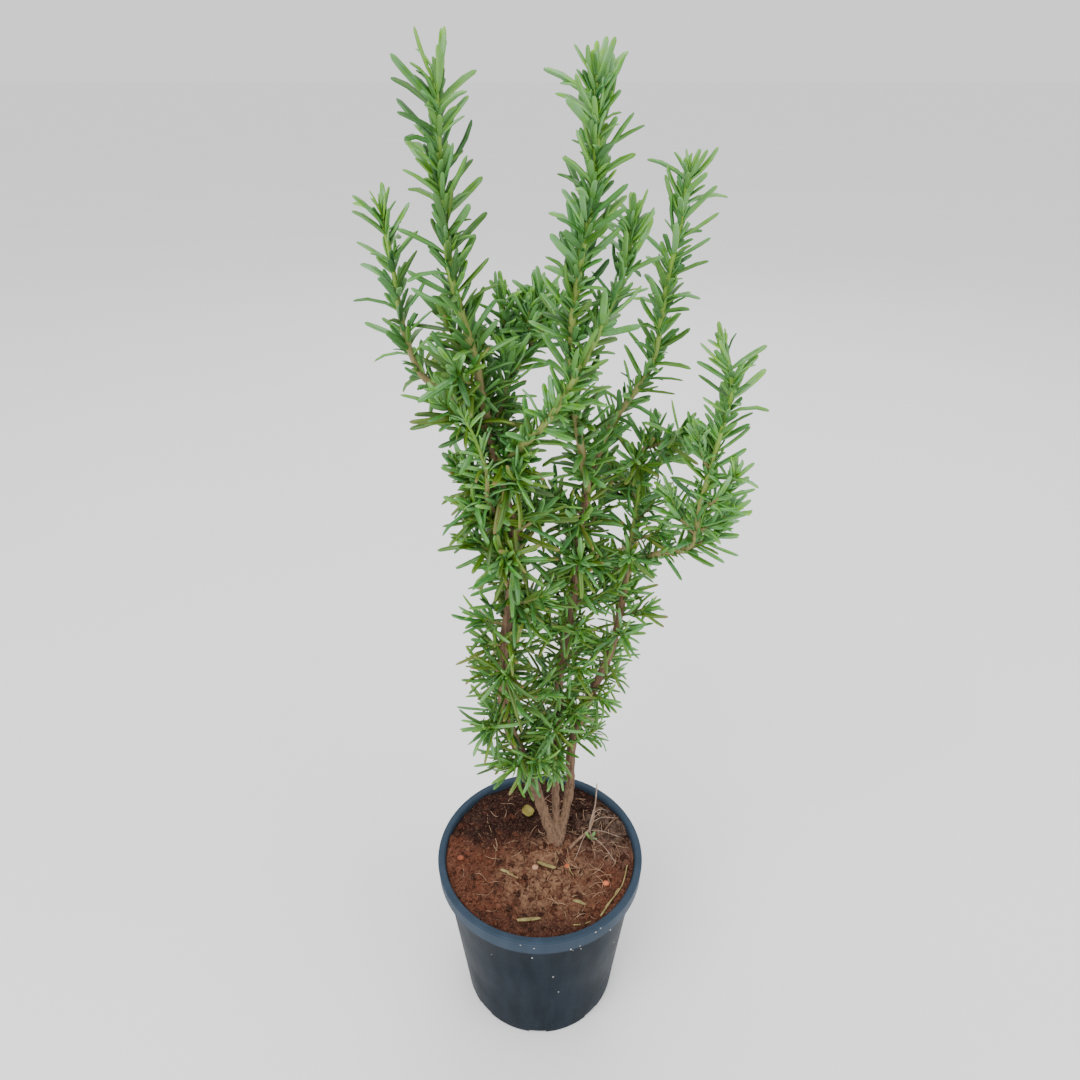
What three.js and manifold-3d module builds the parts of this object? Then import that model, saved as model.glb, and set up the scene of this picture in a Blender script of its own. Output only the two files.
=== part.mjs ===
// A rosemary plant in a round nursery pot.
//
// Millimetres, +Z up. The origin is the middle of the pot's underside, which stands on Z = 0.
// The plant is seen from -Y in the picture it was measured from, with +X to the right.
//
// One woody foot stands in a plain hole in the soil and forks into three main stems. Each main
// stem and each spray that branches from one is a solid of its own: a slim core with its side
// shoots and needles fused to it. Neighbouring solids keep a small gap.

import * as THREE from 'three';
import { mergeVertices } from 'three/addons/utils/BufferGeometryUtils.js';
import Module from 'manifold-3d';

const wasm = await Module();
wasm.setup();

// ---- Driving dimensions -----------------------------------------------------------------

const GAP = 0.35;

const POT_HEIGHT = 118;
const RIM_RADIUS = 65;
const RIM_WIDTH = 4.6;
const LIP_HEIGHT = 11;
const BODY_TOP_RADIUS = 61.8;
const BASE_RADIUS = 50;
const WALL = 1.5;
const LIP_WALL = 1.4;
const CHANNEL_HEIGHT = 3;
const CHANNEL_INNER = 20;
const CHANNEL_OUTER = 43;
const DRAIN_COUNT = 8;
const DRAIN_RADIUS = 3.5;
const DRAIN_CIRCLE = 33;
const NOTCH_WIDTH = 11;
const NOTCH_FIRST_DEG = -92;
const POT_SIDES = 32;

const SOIL_LEVEL = 115;
const SOIL_EDGE_DROP = 0.5;

const NEEDLE_WIDTH = 2.7;
const NEEDLE_THICKNESS = 1.4;
const SIDE_SHOOT_RADIUS = 1.1;
const LOW_SHOOT_REACH = 18;
const HIGH_SHOOT_REACH = 26;
const SHOOT_REACH_SPREAD = 4;
const SHOOT_REACH_BEAT = 2.1;
const GOLDEN_ANGLE_DEG = 137.5;
const CORE_SIDES = 4;
const SHOOT_SIDES = 3;
const CORE_STEP = 22;
const SEED = 20531;

// Where the woody foot leaves the soil, and how it is buried.
const FOOT = { x: 11, y: 4, radius: 5.8, depth: 26 };

// ---- Stem routes ------------------------------------------------------------------------
// Points up each stem, chosen by hand, with the radius at its two ends. A main stem belongs to
// the woody foot up to `split` mm along its route. Below `woodyTo` mm it is old wood with
// scattered needles, and above that it is leafy all round. `shoots` are its short side shoots:
// how many, where they start and end along it, and the plan angle of the first in degrees.
// `tufts` are routes of longer side shoots.

const MAIN_STEMS = [
  {
    name: 'left_stem',
    route: [
      [11.2, 3.8, 112], [1, 13, 143], [-8, 9, 183], [-18, 5, 218], [-21, 1, 263], [-17, 0, 298],
      [-12, -3, 345], [-16, -5, 371], [-24, -8, 415], [-28, -9, 442], [-36, -10, 476],
      [-38, -11, 508], [-38, -12, 548],
    ],
    radii: [3.3, 0.9],
    split: 53,
    woodyTo: 319,
    shoots: { count: 19, from: 73, to: 335, firstTurn: 175 },
    seed: 1,
  },
  {
    name: 'centre_stem',
    route: [
      [11, 3, 112], [10, 20, 145], [11, 24, 200], [12, 23, 248], [18, 19, 291], [20, 16, 330],
      [24, 15, 366], [34, 20, 398], [53, 26, 428], [58, 29, 464], [62, 30, 490], [64, 30, 512],
    ],
    radii: [2.6, 0.9],
    split: 61,
    woodyTo: 266,
    shoots: { count: 12, from: 85, to: 247, firstTurn: 115 },
    seed: 2,
  },
  {
    name: 'right_stem',
    route: [
      [11, 2.4, 112], [19, 24, 145], [20, 28, 181], [30, 30, 218], [40, 29, 249], [45, 27, 280],
      [48, 25, 319], [51, 27, 354], [53, 31, 380], [57, 33, 394],
    ],
    radii: [3, 0.9],
    split: 61,
    woodyTo: 228,
    shoots: { count: 11, from: 79, to: 283, firstTurn: 20 },
    tufts: [[[52, 30, 371], [63, 32, 377], [75, 33, 385]]],
    seed: 3,
  },
];

const SPRAYS = [
  {
    name: 'left_low_spray',
    parent: 'left_stem',
    route: [[-24, -7, 415], [-42, 0, 424], [-53, 4, 430], [-60, 7, 448], [-63, 9, 475], [-66, 10, 498]],
    radii: [1.8, 0.8],
    seed: 4,
  },
  {
    name: 'front_spray',
    parent: 'centre_stem',
    route: [
      [24, 15, 366], [20, 2, 392], [15, -10, 424], [13, -21, 458], [16, -28, 490], [20, -32, 520],
      [19, -35, 549],
    ],
    radii: [2.0, 0.9],
    seed: 5,
  },
  {
    name: 'crossing_spray',
    parent: 'left_stem',
    route: [
      [-20, -7, 392], [-9, -19, 405], [4, -27, 422], [16, -28, 443], [27, -20, 463], [35, -12, 483],
      [37, -8, 500],
    ],
    radii: [1.7, 0.8],
    seed: 6,
  },
  {
    name: 'middle_twig',
    parent: 'left_stem',
    route: [[-21, -7, 402], [-17, 4, 420], [-8, 13, 435], [3, 17, 446], [6, 16, 460]],
    radii: [1.4, 0.7],
    tufts: [
      [[-15, 7, 424], [-16, 10, 444], [-16, 8, 464]],
      [[-7, 13, 436], [-10, 12, 449], [-10, 10, 459]],
      [[0, 16, 443], [0, 13, 456], [0, 12, 464]],
    ],
    seed: 7,
  },
  {
    name: 'right_spray',
    parent: 'right_stem',
    route: [
      [48, 25, 319], [62, 16, 329], [76, 4, 341], [78, -1, 368], [82, -4, 400], [85, -6, 428],
      [80, -6, 446],
    ],
    radii: [1.8, 0.8],
    tufts: [
      [[78, -1, 364], [87, -4, 373], [96, -7, 386], [99, -8, 394]],
      [[74, 6, 338], [87, 6, 343], [98, 3, 350]],
    ],
    seed: 8,
  },
  {
    name: 'young_shoot',
    parent: 'left_stem',
    route: [[-14, -4, 358], [-24, -13, 374], [-24, -18, 392], [-28, -20, 408], [-33, -20, 420]],
    radii: [1.2, 0.7],
    seed: 9,
  },
];

// Loose things lying on the soil: where each one is, which way it points and its size.
const DEAD_NEEDLES = [
  { x: -18, y: -16, turn: -21, length: 15 },
  { x: 4, y: -11, turn: -32, length: 14 },
  { x: 29.5, y: -37, turn: -10, length: 20 },
  { x: -7, y: -48, turn: 0, length: 15 },
];
const CLAY_GRAINS = [
  { x: -50.5, y: -5, radius: 1.9 },
  { x: 17, y: -11, radius: 1.5 },
  { x: 40.5, y: -24, radius: 1.8 },
];
const FALLEN_LEAF = { x: -8, y: 30.5, length: 10, width: 8 };
const DRY_TWIG = [[19, 0], [24, 6.5], [30.5, 13.5], [34.5, 21.5], [36.5, 29]];

// ---- Materials --------------------------------------------------------------------------

function finish(colour, roughness, metalness = 0) {
  return new THREE.MeshStandardMaterial({ color: colour, roughness, metalness });
}

const FINISHES = {
  pot: () => finish(0x3c4f60, 0.5),
  soil: () => finish(0x5a3a2c, 0.95),
  bark: () => finish(0x7a5f50, 0.9),
  leaf: () => finish(0x3f8432, 0.6),
  youngLeaf: () => finish(0x6fae45, 0.6),
  deadLeaf: () => finish(0x9a8a58, 0.85),
  yellowLeaf: () => finish(0xa8983c, 0.7),
  clay: () => finish(0xc9683a, 0.85),
};

// ---- Solids and joins -------------------------------------------------------------------

// The geometry as a solid, with its shared vertices merged and its collapsed triangles dropped.
function solid(geometry) {
  const bare = geometry.clone();
  bare.deleteAttribute('normal');
  bare.deleteAttribute('uv');
  const merged = mergeVertices(bare);
  const index = merged.index.array;
  const kept = [];
  for (let i = 0; i < index.length; i += 3) {
    const [a, b, c] = [index[i], index[i + 1], index[i + 2]];
    if (a !== b && b !== c && c !== a) kept.push(a, b, c);
  }
  const vertProperties = new Float32Array(merged.attributes.position.array);
  const triVerts = new Uint32Array(kept);
  return new wasm.Manifold(new wasm.Mesh({ numProp: 3, vertProperties, triVerts }));
}

// All the solids as one, joined in pairs so that no join is much larger than it needs to be.
function joinAll(solids) {
  let round = solids;
  while (round.length > 1) {
    const next = [];
    for (let i = 0; i < round.length; i += 2) {
      next.push(i + 1 < round.length ? round[i].add(round[i + 1]) : round[i]);
    }
    round = next;
  }
  return round[0];
}

// The largest body of a joined solid, as a geometry: a loose scrap is dropped.
function toGeometry(joined) {
  const bodies = joined.decompose();
  bodies.sort((a, b) => b.volume() - a.volume());
  const mesh = bodies[0].getMesh();
  const geometry = new THREE.BufferGeometry();
  geometry.setAttribute('position', new THREE.BufferAttribute(new Float32Array(mesh.vertProperties), 3));
  geometry.setIndex(new THREE.BufferAttribute(new Uint32Array(mesh.triVerts), 1));
  geometry.computeVertexNormals();
  return geometry;
}

function named(name, geometry, material) {
  const mesh = new THREE.Mesh(geometry, material);
  mesh.name = name;
  return mesh;
}

// A profile of [radius, height] pairs turned about +Z.
function turned(profile, sides) {
  const points = profile.map(([radius, height]) => new THREE.Vector2(radius, height));
  const geometry = new THREE.LatheGeometry(points, sides);
  geometry.rotateX(Math.PI / 2);
  return geometry;
}

function upright(geometry, x, y, z) {
  geometry.rotateX(Math.PI / 2);
  geometry.translate(x, y, z);
  return geometry;
}

// A repeatable stream of numbers from 0 to 1.
function seeded(seed) {
  let state = seed >>> 0;
  return () => {
    state = (state + 0x6d2b79f5) >>> 0;
    let mixed = Math.imul(state ^ (state >>> 15), state | 1);
    mixed ^= mixed + Math.imul(mixed ^ (mixed >>> 7), mixed | 61);
    return ((mixed ^ (mixed >>> 14)) >>> 0) / 4294967296;
  };
}

// ---- Pot --------------------------------------------------------------------------------

// The pot's inner radius at a height above the floor.
function innerRadius(height) {
  const low = BASE_RADIUS - WALL;
  const high = RIM_RADIUS - RIM_WIDTH;
  return low + ((high - low) * height) / POT_HEIGHT;
}

function potProfile() {
  const floor = CHANNEL_HEIGHT + WALL;
  const lipBottom = POT_HEIGHT - LIP_HEIGHT;
  const underRim = POT_HEIGHT - WALL;
  return [
    [0, 0],
    [CHANNEL_INNER, 0],
    [CHANNEL_INNER + 2, CHANNEL_HEIGHT],
    [CHANNEL_OUTER, CHANNEL_HEIGHT],
    [CHANNEL_OUTER + 1.5, 0],
    [BASE_RADIUS - 1, 0],
    [BASE_RADIUS, 1],
    [BODY_TOP_RADIUS, underRim],
    [RIM_RADIUS - LIP_WALL, underRim],
    [RIM_RADIUS - LIP_WALL - 0.4, lipBottom],
    [RIM_RADIUS - 0.5, lipBottom],
    [RIM_RADIUS, POT_HEIGHT - 1],
    [RIM_RADIUS - 1, POT_HEIGHT],
    [RIM_RADIUS - RIM_WIDTH + 0.6, POT_HEIGHT],
    [innerRadius(POT_HEIGHT - 0.7), POT_HEIGHT - 0.7],
    [innerRadius(floor), floor],
    [CHANNEL_INNER + 2.4, floor],
    [CHANNEL_INNER + 0.4, WALL],
    [0, WALL],
  ];
}

// A thin plastic pot with a turned-down lip, a notched foot ring and drain holes in its floor.
function pot() {
  const cuts = [];
  const ringMiddle = (CHANNEL_OUTER + BASE_RADIUS) / 2;
  const ringDepth = BASE_RADIUS - CHANNEL_OUTER + 8;
  for (let i = 0; i < DRAIN_COUNT; i += 1) {
    const angle = THREE.MathUtils.degToRad(NOTCH_FIRST_DEG) + (i * 2 * Math.PI) / DRAIN_COUNT;
    const notch = new THREE.BoxGeometry(ringDepth, NOTCH_WIDTH, 2 * CHANNEL_HEIGHT - 0.4);
    notch.translate(ringMiddle, 0, 0);
    notch.rotateZ(angle);
    cuts.push(solid(notch));
    const hole = new THREE.CylinderGeometry(DRAIN_RADIUS, DRAIN_RADIUS, 4 * WALL, 6);
    upright(hole, DRAIN_CIRCLE * Math.cos(angle), DRAIN_CIRCLE * Math.sin(angle), CHANNEL_HEIGHT);
    cuts.push(solid(hole));
  }
  const body = solid(turned(potProfile(), POT_SIDES)).subtract(joinAll(cuts));
  return named('pot', toGeometry(body), FINISHES.pot());
}

// ---- Soil -------------------------------------------------------------------------------

// The height of the soil: low swells, a mound round the foot and a dip along the pot's wall.
function soilHeight(x, y) {
  const radius = Math.hypot(x, y);
  const swell = 0.9 * Math.sin(x / 11 + 0.6) * Math.cos(y / 9 - 0.4) + 0.5 * Math.sin((x + 2 * y) / 7);
  const mound = 2.2 * Math.exp(-((x - FOOT.x) ** 2 + (y - FOOT.y) ** 2) / 220);
  const dip = SOIL_EDGE_DROP * THREE.MathUtils.smoothstep(radius, 44, 60);
  return SOIL_LEVEL + swell + mound - dip;
}

function soil() {
  const bottom = CHANNEL_HEIGHT + WALL + GAP;
  const shoulder = SOIL_LEVEL - 6;
  const edge = innerRadius(SOIL_LEVEL - SOIL_EDGE_DROP) - 1.1;
  const rings = [0.9, 0.74, 0.58, 0.42, 0.24].map((share) => [edge * share, SOIL_LEVEL]);
  const profile = [
    [0, bottom],
    [innerRadius(bottom) - GAP - 0.3, bottom],
    [innerRadius(shoulder) - GAP - 0.3, shoulder],
    [edge, SOIL_LEVEL],
    ...rings,
    [0, SOIL_LEVEL],
  ];
  const geometry = turned(profile, POT_SIDES);
  const places = geometry.attributes.position;
  for (let i = 0; i < places.count; i += 1) {
    if (places.getZ(i) > SOIL_LEVEL - 1) places.setZ(i, soilHeight(places.getX(i), places.getY(i)));
  }
  const hole = new THREE.CylinderGeometry(FOOT.radius + GAP, FOOT.radius + GAP, FOOT.depth + 40, 12);
  upright(hole, FOOT.x, FOOT.y, SOIL_LEVEL - FOOT.depth - 1 + (FOOT.depth + 40) / 2);
  return named('soil', toGeometry(solid(geometry).subtract(solid(hole))), FINISHES.soil());
}

// ---- Limbs ------------------------------------------------------------------------------

// A stem, spray or side shoot: a smooth route with a radius that tapers along it.
class Limb {
  constructor(route, rootRadius, tipRadius) {
    this.curve = new THREE.CatmullRomCurve3(route.map((place) => new THREE.Vector3(...place)));
    this.curve.arcLengthDivisions = 400;
    this.length = this.curve.getLength();
    this.rootRadius = rootRadius;
    this.tipRadius = tipRadius;
  }

  share(along) {
    return THREE.MathUtils.clamp(along / this.length, 0, 1);
  }

  point(along) {
    return this.curve.getPointAt(this.share(along));
  }

  direction(along) {
    return this.curve.getTangentAt(this.share(along));
  }

  radius(along) {
    return THREE.MathUtils.lerp(this.rootRadius, this.tipRadius, this.share(along));
  }

  // A bent, tapered rod along the route between two lengths, thickened by `extra`.
  rod(from, to, sides, extra = 0) {
    const steps = Math.max(2, Math.round((to - from) / CORE_STEP));
    const geometry = new THREE.CylinderGeometry(1, 1, 1, sides, steps);
    const places = geometry.attributes.position;
    const chord = this.point(to).sub(this.point(from)).normalize();
    const reference = Math.abs(chord.y) < 0.6 ? new THREE.Vector3(0, 1, 0) : new THREE.Vector3(1, 0, 0);
    for (let i = 0; i < places.count; i += 1) {
      const along = from + (places.getY(i) + 0.5) * (to - from);
      const forward = this.direction(along);
      const across = reference.clone().addScaledVector(forward, -reference.dot(forward)).normalize();
      const beside = across.clone().cross(forward);
      const radius = this.radius(along) + extra;
      const place = this.point(along)
        .addScaledVector(across, places.getX(i) * radius)
        .addScaledVector(beside, places.getZ(i) * radius);
      places.setXYZ(i, place.x, place.y, place.z);
    }
    return geometry;
  }

  // A direction that leans away from the route by `lean`, at an angle `around` it.
  leaning(along, around, lean) {
    const forward = this.direction(along);
    const reference = Math.abs(forward.z) < 0.9 ? new THREE.Vector3(0, 0, 1) : new THREE.Vector3(0, 1, 0);
    const across = reference.addScaledVector(forward, -reference.dot(forward)).normalize();
    const beside = across.clone().cross(forward);
    return forward
      .multiplyScalar(Math.cos(lean))
      .addScaledVector(across, Math.sin(lean) * Math.cos(around))
      .addScaledVector(beside, Math.sin(lean) * Math.sin(around));
  }
}

// ---- Room between neighbours ------------------------------------------------------------

// The distance between the segments a-b and c-d.
function segmentDistance(a, b, c, d) {
  const first = b.clone().sub(a);
  const second = d.clone().sub(c);
  const between = a.clone().sub(c);
  const ff = first.dot(first);
  const ss = second.dot(second);
  const fs = first.dot(second);
  const fb = first.dot(between);
  const sb = second.dot(between);
  const spread = ff * ss - fs * fs;
  let s = spread > 1e-9 ? THREE.MathUtils.clamp((fs * sb - fb * ss) / spread, 0, 1) : 0;
  let t = (fs * s + sb) / ss;
  if (t < 0 || t > 1) {
    t = THREE.MathUtils.clamp(t, 0, 1);
    s = THREE.MathUtils.clamp((fs * t - fb) / ff, 0, 1);
  }
  return between.addScaledVector(first, s).addScaledVector(second, -t).length();
}

// What already stands in the plant, so that one solid's needles stay clear of the others.
class Room {
  constructor() {
    this.rods = [];
  }

  take(owner, a, b, radius) {
    this.rods.push({ owner, a, b, radius });
  }

  takeLimb(owner, limb, from) {
    const steps = Math.ceil((limb.length - from) / 8);
    for (let i = 0; i < steps; i += 1) {
      const low = from + ((limb.length - from) * i) / steps;
      const high = from + ((limb.length - from) * (i + 1)) / steps;
      this.take(owner, limb.point(low), limb.point(high), limb.radius(low));
    }
  }

  isFree(owner, a, b, radius) {
    return this.rods.every((rod) => {
      if (rod.owner === owner) return true;
      return segmentDistance(a, b, rod.a, rod.b) > radius + rod.radius + GAP;
    });
  }
}

// ---- Needles ----------------------------------------------------------------------------

// A needle one unit long and wide: three sides, broadest past its middle, then a short point.
const NEEDLE_SHAPE = new THREE.LatheGeometry(
  [[0, 0], [1, 0.45], [0, 1]].map(([radius, height]) => new THREE.Vector2(radius, height)),
  3,
);
const TRIANGLE_WIDTH = Math.sqrt(3);
const TRIANGLE_THICKNESS = 1.5;

function needle(root, direction, upper, length) {
  const top = upper.clone().addScaledVector(direction, -upper.dot(direction)).normalize();
  const side = direction.clone().cross(top);
  const turn = new THREE.Matrix4().makeBasis(side, direction, top).setPosition(root);
  const size = new THREE.Matrix4().makeScale(
    NEEDLE_WIDTH / TRIANGLE_WIDTH,
    length,
    NEEDLE_THICKNESS / TRIANGLE_THICKNESS,
  );
  return NEEDLE_SHAPE.clone().applyMatrix4(turn.multiply(size));
}

// Puts one needle on a limb if it stays clear of the other solids, swinging it round to fit.
function placeNeedle(build, limb, along, around, lean, length) {
  const swings = [0, 0.35, -0.35, 0.8, -0.8];
  for (const swing of swings) {
    const direction = limb.leaning(along, around + swing, lean);
    const root = limb.point(along);
    const start = root.clone().addScaledVector(direction, limb.radius(along) + 0.6);
    const tip = root.clone().addScaledVector(direction, length);
    if (build.room.isFree(build.name, start, tip, NEEDLE_WIDTH / 2)) {
      build.room.take(build.name, start, tip, NEEDLE_WIDTH / 2);
      build.pieces.push(solid(needle(root, direction, limb.direction(along), length)));
      return;
    }
  }
}

// Opposite pairs up a limb, each pair turned a quarter from the last, as the real plant grows.
function leafPairs(build, limb, from, to, style) {
  const { random } = build;
  let around = random() * Math.PI;
  for (let along = from; along < to; along += style.spacing) {
    const progress = THREE.MathUtils.clamp((along - from) / (to - from), 0, 1);
    const lean = THREE.MathUtils.lerp(style.lean[0], style.lean[1], progress);
    const length = THREE.MathUtils.lerp(style.length[0], style.length[1], progress);
    for (let i = 0; i < style.perNode; i += 1) {
      const turn = around + (i * 2 * Math.PI) / style.perNode + (random() - 0.5) * 0.5;
      const tilt = THREE.MathUtils.degToRad(lean + (random() - 0.5) * style.looseness);
      const shift = (random() - 0.5) * 2;
      placeNeedle(build, limb, along + shift, turn, tilt, length * (0.82 + 0.3 * random()));
    }
    around += Math.PI / style.perNode;
  }
}

// The tuft of small needles that closes a limb's end.
function tipTuft(build, limb, count, length) {
  const turn = build.random() * Math.PI;
  for (let i = 0; i < count; i += 1) {
    const lean = THREE.MathUtils.degToRad(16 + 8 * (i % 2));
    placeNeedle(build, limb, limb.length - 1, turn + (i * 2 * Math.PI) / count, lean, length);
  }
}

const STYLES = {
  wood: { spacing: 15, perNode: 2, lean: [80, 62], length: [15, 20], looseness: 50 },
  green: { spacing: 9.4, perNode: 3, lean: [58, 38], length: [23, 18], looseness: 16 },
  small: { spacing: 8, perNode: 2, lean: [64, 48], length: [17, 15], looseness: 24 },
};

// ---- Leafy stems ------------------------------------------------------------------------

// A short leafy shoot that leaves a woody stem at a plan angle and turns upwards.
function sideShoot(build, stem, along, turn, lean, reach) {
  const root = stem.point(along);
  const flat = reach * Math.sin(lean);
  const rise = reach * Math.cos(lean);
  const bend = [root.x + 0.55 * flat * Math.cos(turn), root.y + 0.55 * flat * Math.sin(turn), root.z + 0.4 * rise];
  const end = [root.x + flat * Math.cos(turn), root.y + flat * Math.sin(turn), root.z + rise];
  const shoot = new Limb([root.toArray(), bend, end], SIDE_SHOOT_RADIUS, 0.7);
  const start = stem.radius(along) + 0.5;
  build.pieces.push(solid(shoot.rod(0, shoot.length, SHOOT_SIDES)));
  build.room.takeLimb(build.name, shoot, start);
  build.shoots.push({ shoot, from: start + 2.5 });
}

function startBuild(name, room, seed) {
  return { name, room, random: seeded(SEED + seed), pieces: [], shoots: [] };
}

// Side shoots at even steps up the old wood, each turned by the golden angle from the last.
function growSideShoots(build, stem, { count, from, to, firstTurn }) {
  for (let i = 0; i < count; i += 1) {
    const share = i / (count - 1);
    const turn = THREE.MathUtils.degToRad(firstTurn + i * GOLDEN_ANGLE_DEG);
    const lean = THREE.MathUtils.degToRad(THREE.MathUtils.lerp(72, 52, share));
    const beat = SHOOT_REACH_SPREAD * Math.sin(SHOOT_REACH_BEAT * i);
    const reach = THREE.MathUtils.lerp(LOW_SHOOT_REACH, HIGH_SHOOT_REACH, share) + beat;
    sideShoot(build, stem, THREE.MathUtils.lerp(from, to, share), turn, lean, reach);
  }
}

function growTufts(build, plan) {
  for (const route of plan.tufts ?? []) {
    const tuft = new Limb(route, 1.2, 0.7);
    build.pieces.push(solid(tuft.rod(0, tuft.length, SHOOT_SIDES)));
    build.room.takeLimb(build.name, tuft, 2);
    build.shoots.push({ shoot: tuft, from: 6 });
  }
}

function growFoliage(build, stem, plan) {
  if (plan.woodyTo) {
    leafPairs(build, stem, plan.split + 8, plan.woodyTo, STYLES.wood);
    leafPairs(build, stem, plan.woodyTo, stem.length - 3, STYLES.green);
  } else {
    leafPairs(build, stem, 8, stem.length - 3, STYLES.green);
  }
  tipTuft(build, stem, 4, 15);
  for (const { shoot, from } of build.shoots) {
    leafPairs(build, shoot, from, shoot.length - 2, STYLES.small);
    tipTuft(build, shoot, 2, 12);
  }
}

// The woody foot, the three main stems and the sprays, each clear of the others.
function plant() {
  const room = new Room();
  const foot = { name: 'woody_foot', pieces: [] };
  const builds = [];
  const limbs = new Map();
  const wood = new THREE.CylinderGeometry(FOOT.radius, FOOT.radius - 1, FOOT.depth, 10);
  upright(wood, FOOT.x, FOOT.y, SOIL_LEVEL + 1 - FOOT.depth / 2);
  foot.pieces.push(solid(wood));
  for (const plan of MAIN_STEMS) {
    const limb = new Limb(plan.route, ...plan.radii);
    const build = startBuild(plan.name, room, plan.seed);
    foot.pieces.push(solid(limb.rod(0, plan.split, CORE_SIDES)));
    build.pieces.push(solid(limb.rod(plan.split + GAP, limb.length, CORE_SIDES)));
    room.takeLimb('woody_foot', new Limb(plan.route.slice(0, 3), ...plan.radii), 0);
    room.takeLimb(plan.name, limb, plan.split);
    limbs.set(plan.name, limb);
    builds.push({ build, limb, plan });
  }
  for (const plan of SPRAYS) {
    const limb = new Limb(plan.route, ...plan.radii);
    const build = startBuild(plan.name, room, plan.seed);
    build.pieces.push(solid(limb.rod(0, limb.length, CORE_SIDES)));
    room.takeLimb(plan.name, limb, 0);
    builds.push({ build, limb, plan });
  }
  for (const { build, plan } of builds) growTufts(build, plan);
  for (const { build, limb, plan } of builds) {
    if (plan.shoots) growSideShoots(build, limb, plan.shoots);
  }
  for (const { build, limb, plan } of builds) growFoliage(build, limb, plan);

  const meshes = [named(foot.name, toGeometry(joinAll(foot.pieces)), FINISHES.bark())];
  for (const { build, plan } of builds) {
    let whole = joinAll(build.pieces);
    if (plan.parent) {
      const parent = limbs.get(plan.parent);
      whole = whole.subtract(solid(parent.rod(0, parent.length, CORE_SIDES, GAP)));
    }
    const leaf = plan.name === 'young_shoot' ? FINISHES.youngLeaf() : FINISHES.leaf();
    meshes.push(named(build.name, toGeometry(whole), leaf));
  }
  return meshes;
}

// ---- Loose bits on the soil -------------------------------------------------------------

// The soil's height under a place, read off the solid so that things lie just clear of it.
function groundUnder(ground, x, y) {
  const ray = new THREE.Raycaster(new THREE.Vector3(x, y, 2 * POT_HEIGHT), new THREE.Vector3(0, 0, -1));
  return ray.intersectObject(ground)[0].point.z;
}

function highestUnder(ground, places) {
  return Math.max(...places.map(([x, y]) => groundUnder(ground, x, y)));
}

function deadNeedle(ground, spot, number) {
  const turn = THREE.MathUtils.degToRad(spot.turn);
  const along = new THREE.Vector3(Math.cos(turn), Math.sin(turn), 0);
  const start = new THREE.Vector3(spot.x, spot.y, 0).addScaledVector(along, -spot.length / 2);
  const samples = [0, 0.25, 0.5, 0.75, 1].map((share) => [
    start.x + along.x * spot.length * share,
    start.y + along.y * spot.length * share,
  ]);
  start.z = highestUnder(ground, samples) + GAP + NEEDLE_THICKNESS / 2;
  const geometry = needle(start, along, new THREE.Vector3(0, 0, 1), spot.length);
  return named(`dead_needle_${number}`, geometry, FINISHES.deadLeaf());
}

function clayGrain(ground, spot, number) {
  const geometry = new THREE.IcosahedronGeometry(spot.radius, 0);
  geometry.scale(1, 0.85, 0.7);
  geometry.translate(spot.x, spot.y, groundUnder(ground, spot.x, spot.y) + spot.radius + GAP);
  return named(`clay_grain_${number}`, geometry, FINISHES.clay());
}

function fallenLeaf(ground) {
  const { x, y, length, width } = FALLEN_LEAF;
  const geometry = new THREE.SphereGeometry(0.5, 8, 4);
  geometry.scale(length, width, 1.6);
  const around = [[x, y], [x - length / 2, y], [x + length / 2, y], [x, y - width / 2], [x, y + width / 2]];
  geometry.translate(x, y, highestUnder(ground, around) + GAP + 0.8);
  return named('fallen_leaf', geometry, FINISHES.yellowLeaf());
}

function dryTwig(ground) {
  const route = DRY_TWIG.map(([x, y]) => [x, y, groundUnder(ground, x, y) + 2.2]);
  const twig = new Limb(route, 0.8, 0.5);
  return named('dry_twig', twig.rod(0, twig.length, SHOOT_SIDES), FINISHES.bark());
}

// ---- The whole object -------------------------------------------------------------------

const object = new THREE.Group();
const ground = soil();
object.add(pot(), ground, ...plant());
DEAD_NEEDLES.forEach((spot, i) => object.add(deadNeedle(ground, spot, i + 1)));
CLAY_GRAINS.forEach((spot, i) => object.add(clayGrain(ground, spot, i + 1)));
object.add(fallenLeaf(ground), dryTwig(ground));

export default object;
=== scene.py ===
"""Looks of a potted rosemary plant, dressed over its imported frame. Metres, +Z up.

The frame gives the pot, the soil and the faceted stems and sprays. Each leafy stem is replaced
here by a fine one on the same route: a bark or green rod and its full number of needles.
"""

import logging
import math
import random
from dataclasses import dataclass, field
from enum import Enum

import bmesh
import bpy
from mathutils import Matrix, Vector, noise


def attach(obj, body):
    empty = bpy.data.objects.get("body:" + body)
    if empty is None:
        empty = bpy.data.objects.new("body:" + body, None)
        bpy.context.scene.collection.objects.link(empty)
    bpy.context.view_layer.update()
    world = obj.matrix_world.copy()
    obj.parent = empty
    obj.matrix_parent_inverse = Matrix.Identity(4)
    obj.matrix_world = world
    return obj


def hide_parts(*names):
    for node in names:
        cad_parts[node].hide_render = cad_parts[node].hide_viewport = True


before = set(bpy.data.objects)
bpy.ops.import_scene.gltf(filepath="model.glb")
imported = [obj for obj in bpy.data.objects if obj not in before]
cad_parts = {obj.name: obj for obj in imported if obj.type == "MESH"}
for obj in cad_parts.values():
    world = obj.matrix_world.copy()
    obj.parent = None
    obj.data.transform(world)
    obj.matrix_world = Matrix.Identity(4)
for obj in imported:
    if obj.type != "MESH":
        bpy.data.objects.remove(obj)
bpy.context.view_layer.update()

LOG = logging.getLogger("potted_rosemary")
BODY = "root"
GOLDEN_ANGLE = math.radians(137.5)
TINY = 1e-6

Route = tuple[tuple[float, float, float], ...]
Colour = tuple[float, float, float, float]


def lerp(first: float, second: float, share: float) -> float:
    """Gives the value a share of the way from first to second."""
    return first + (second - first) * share


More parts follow.
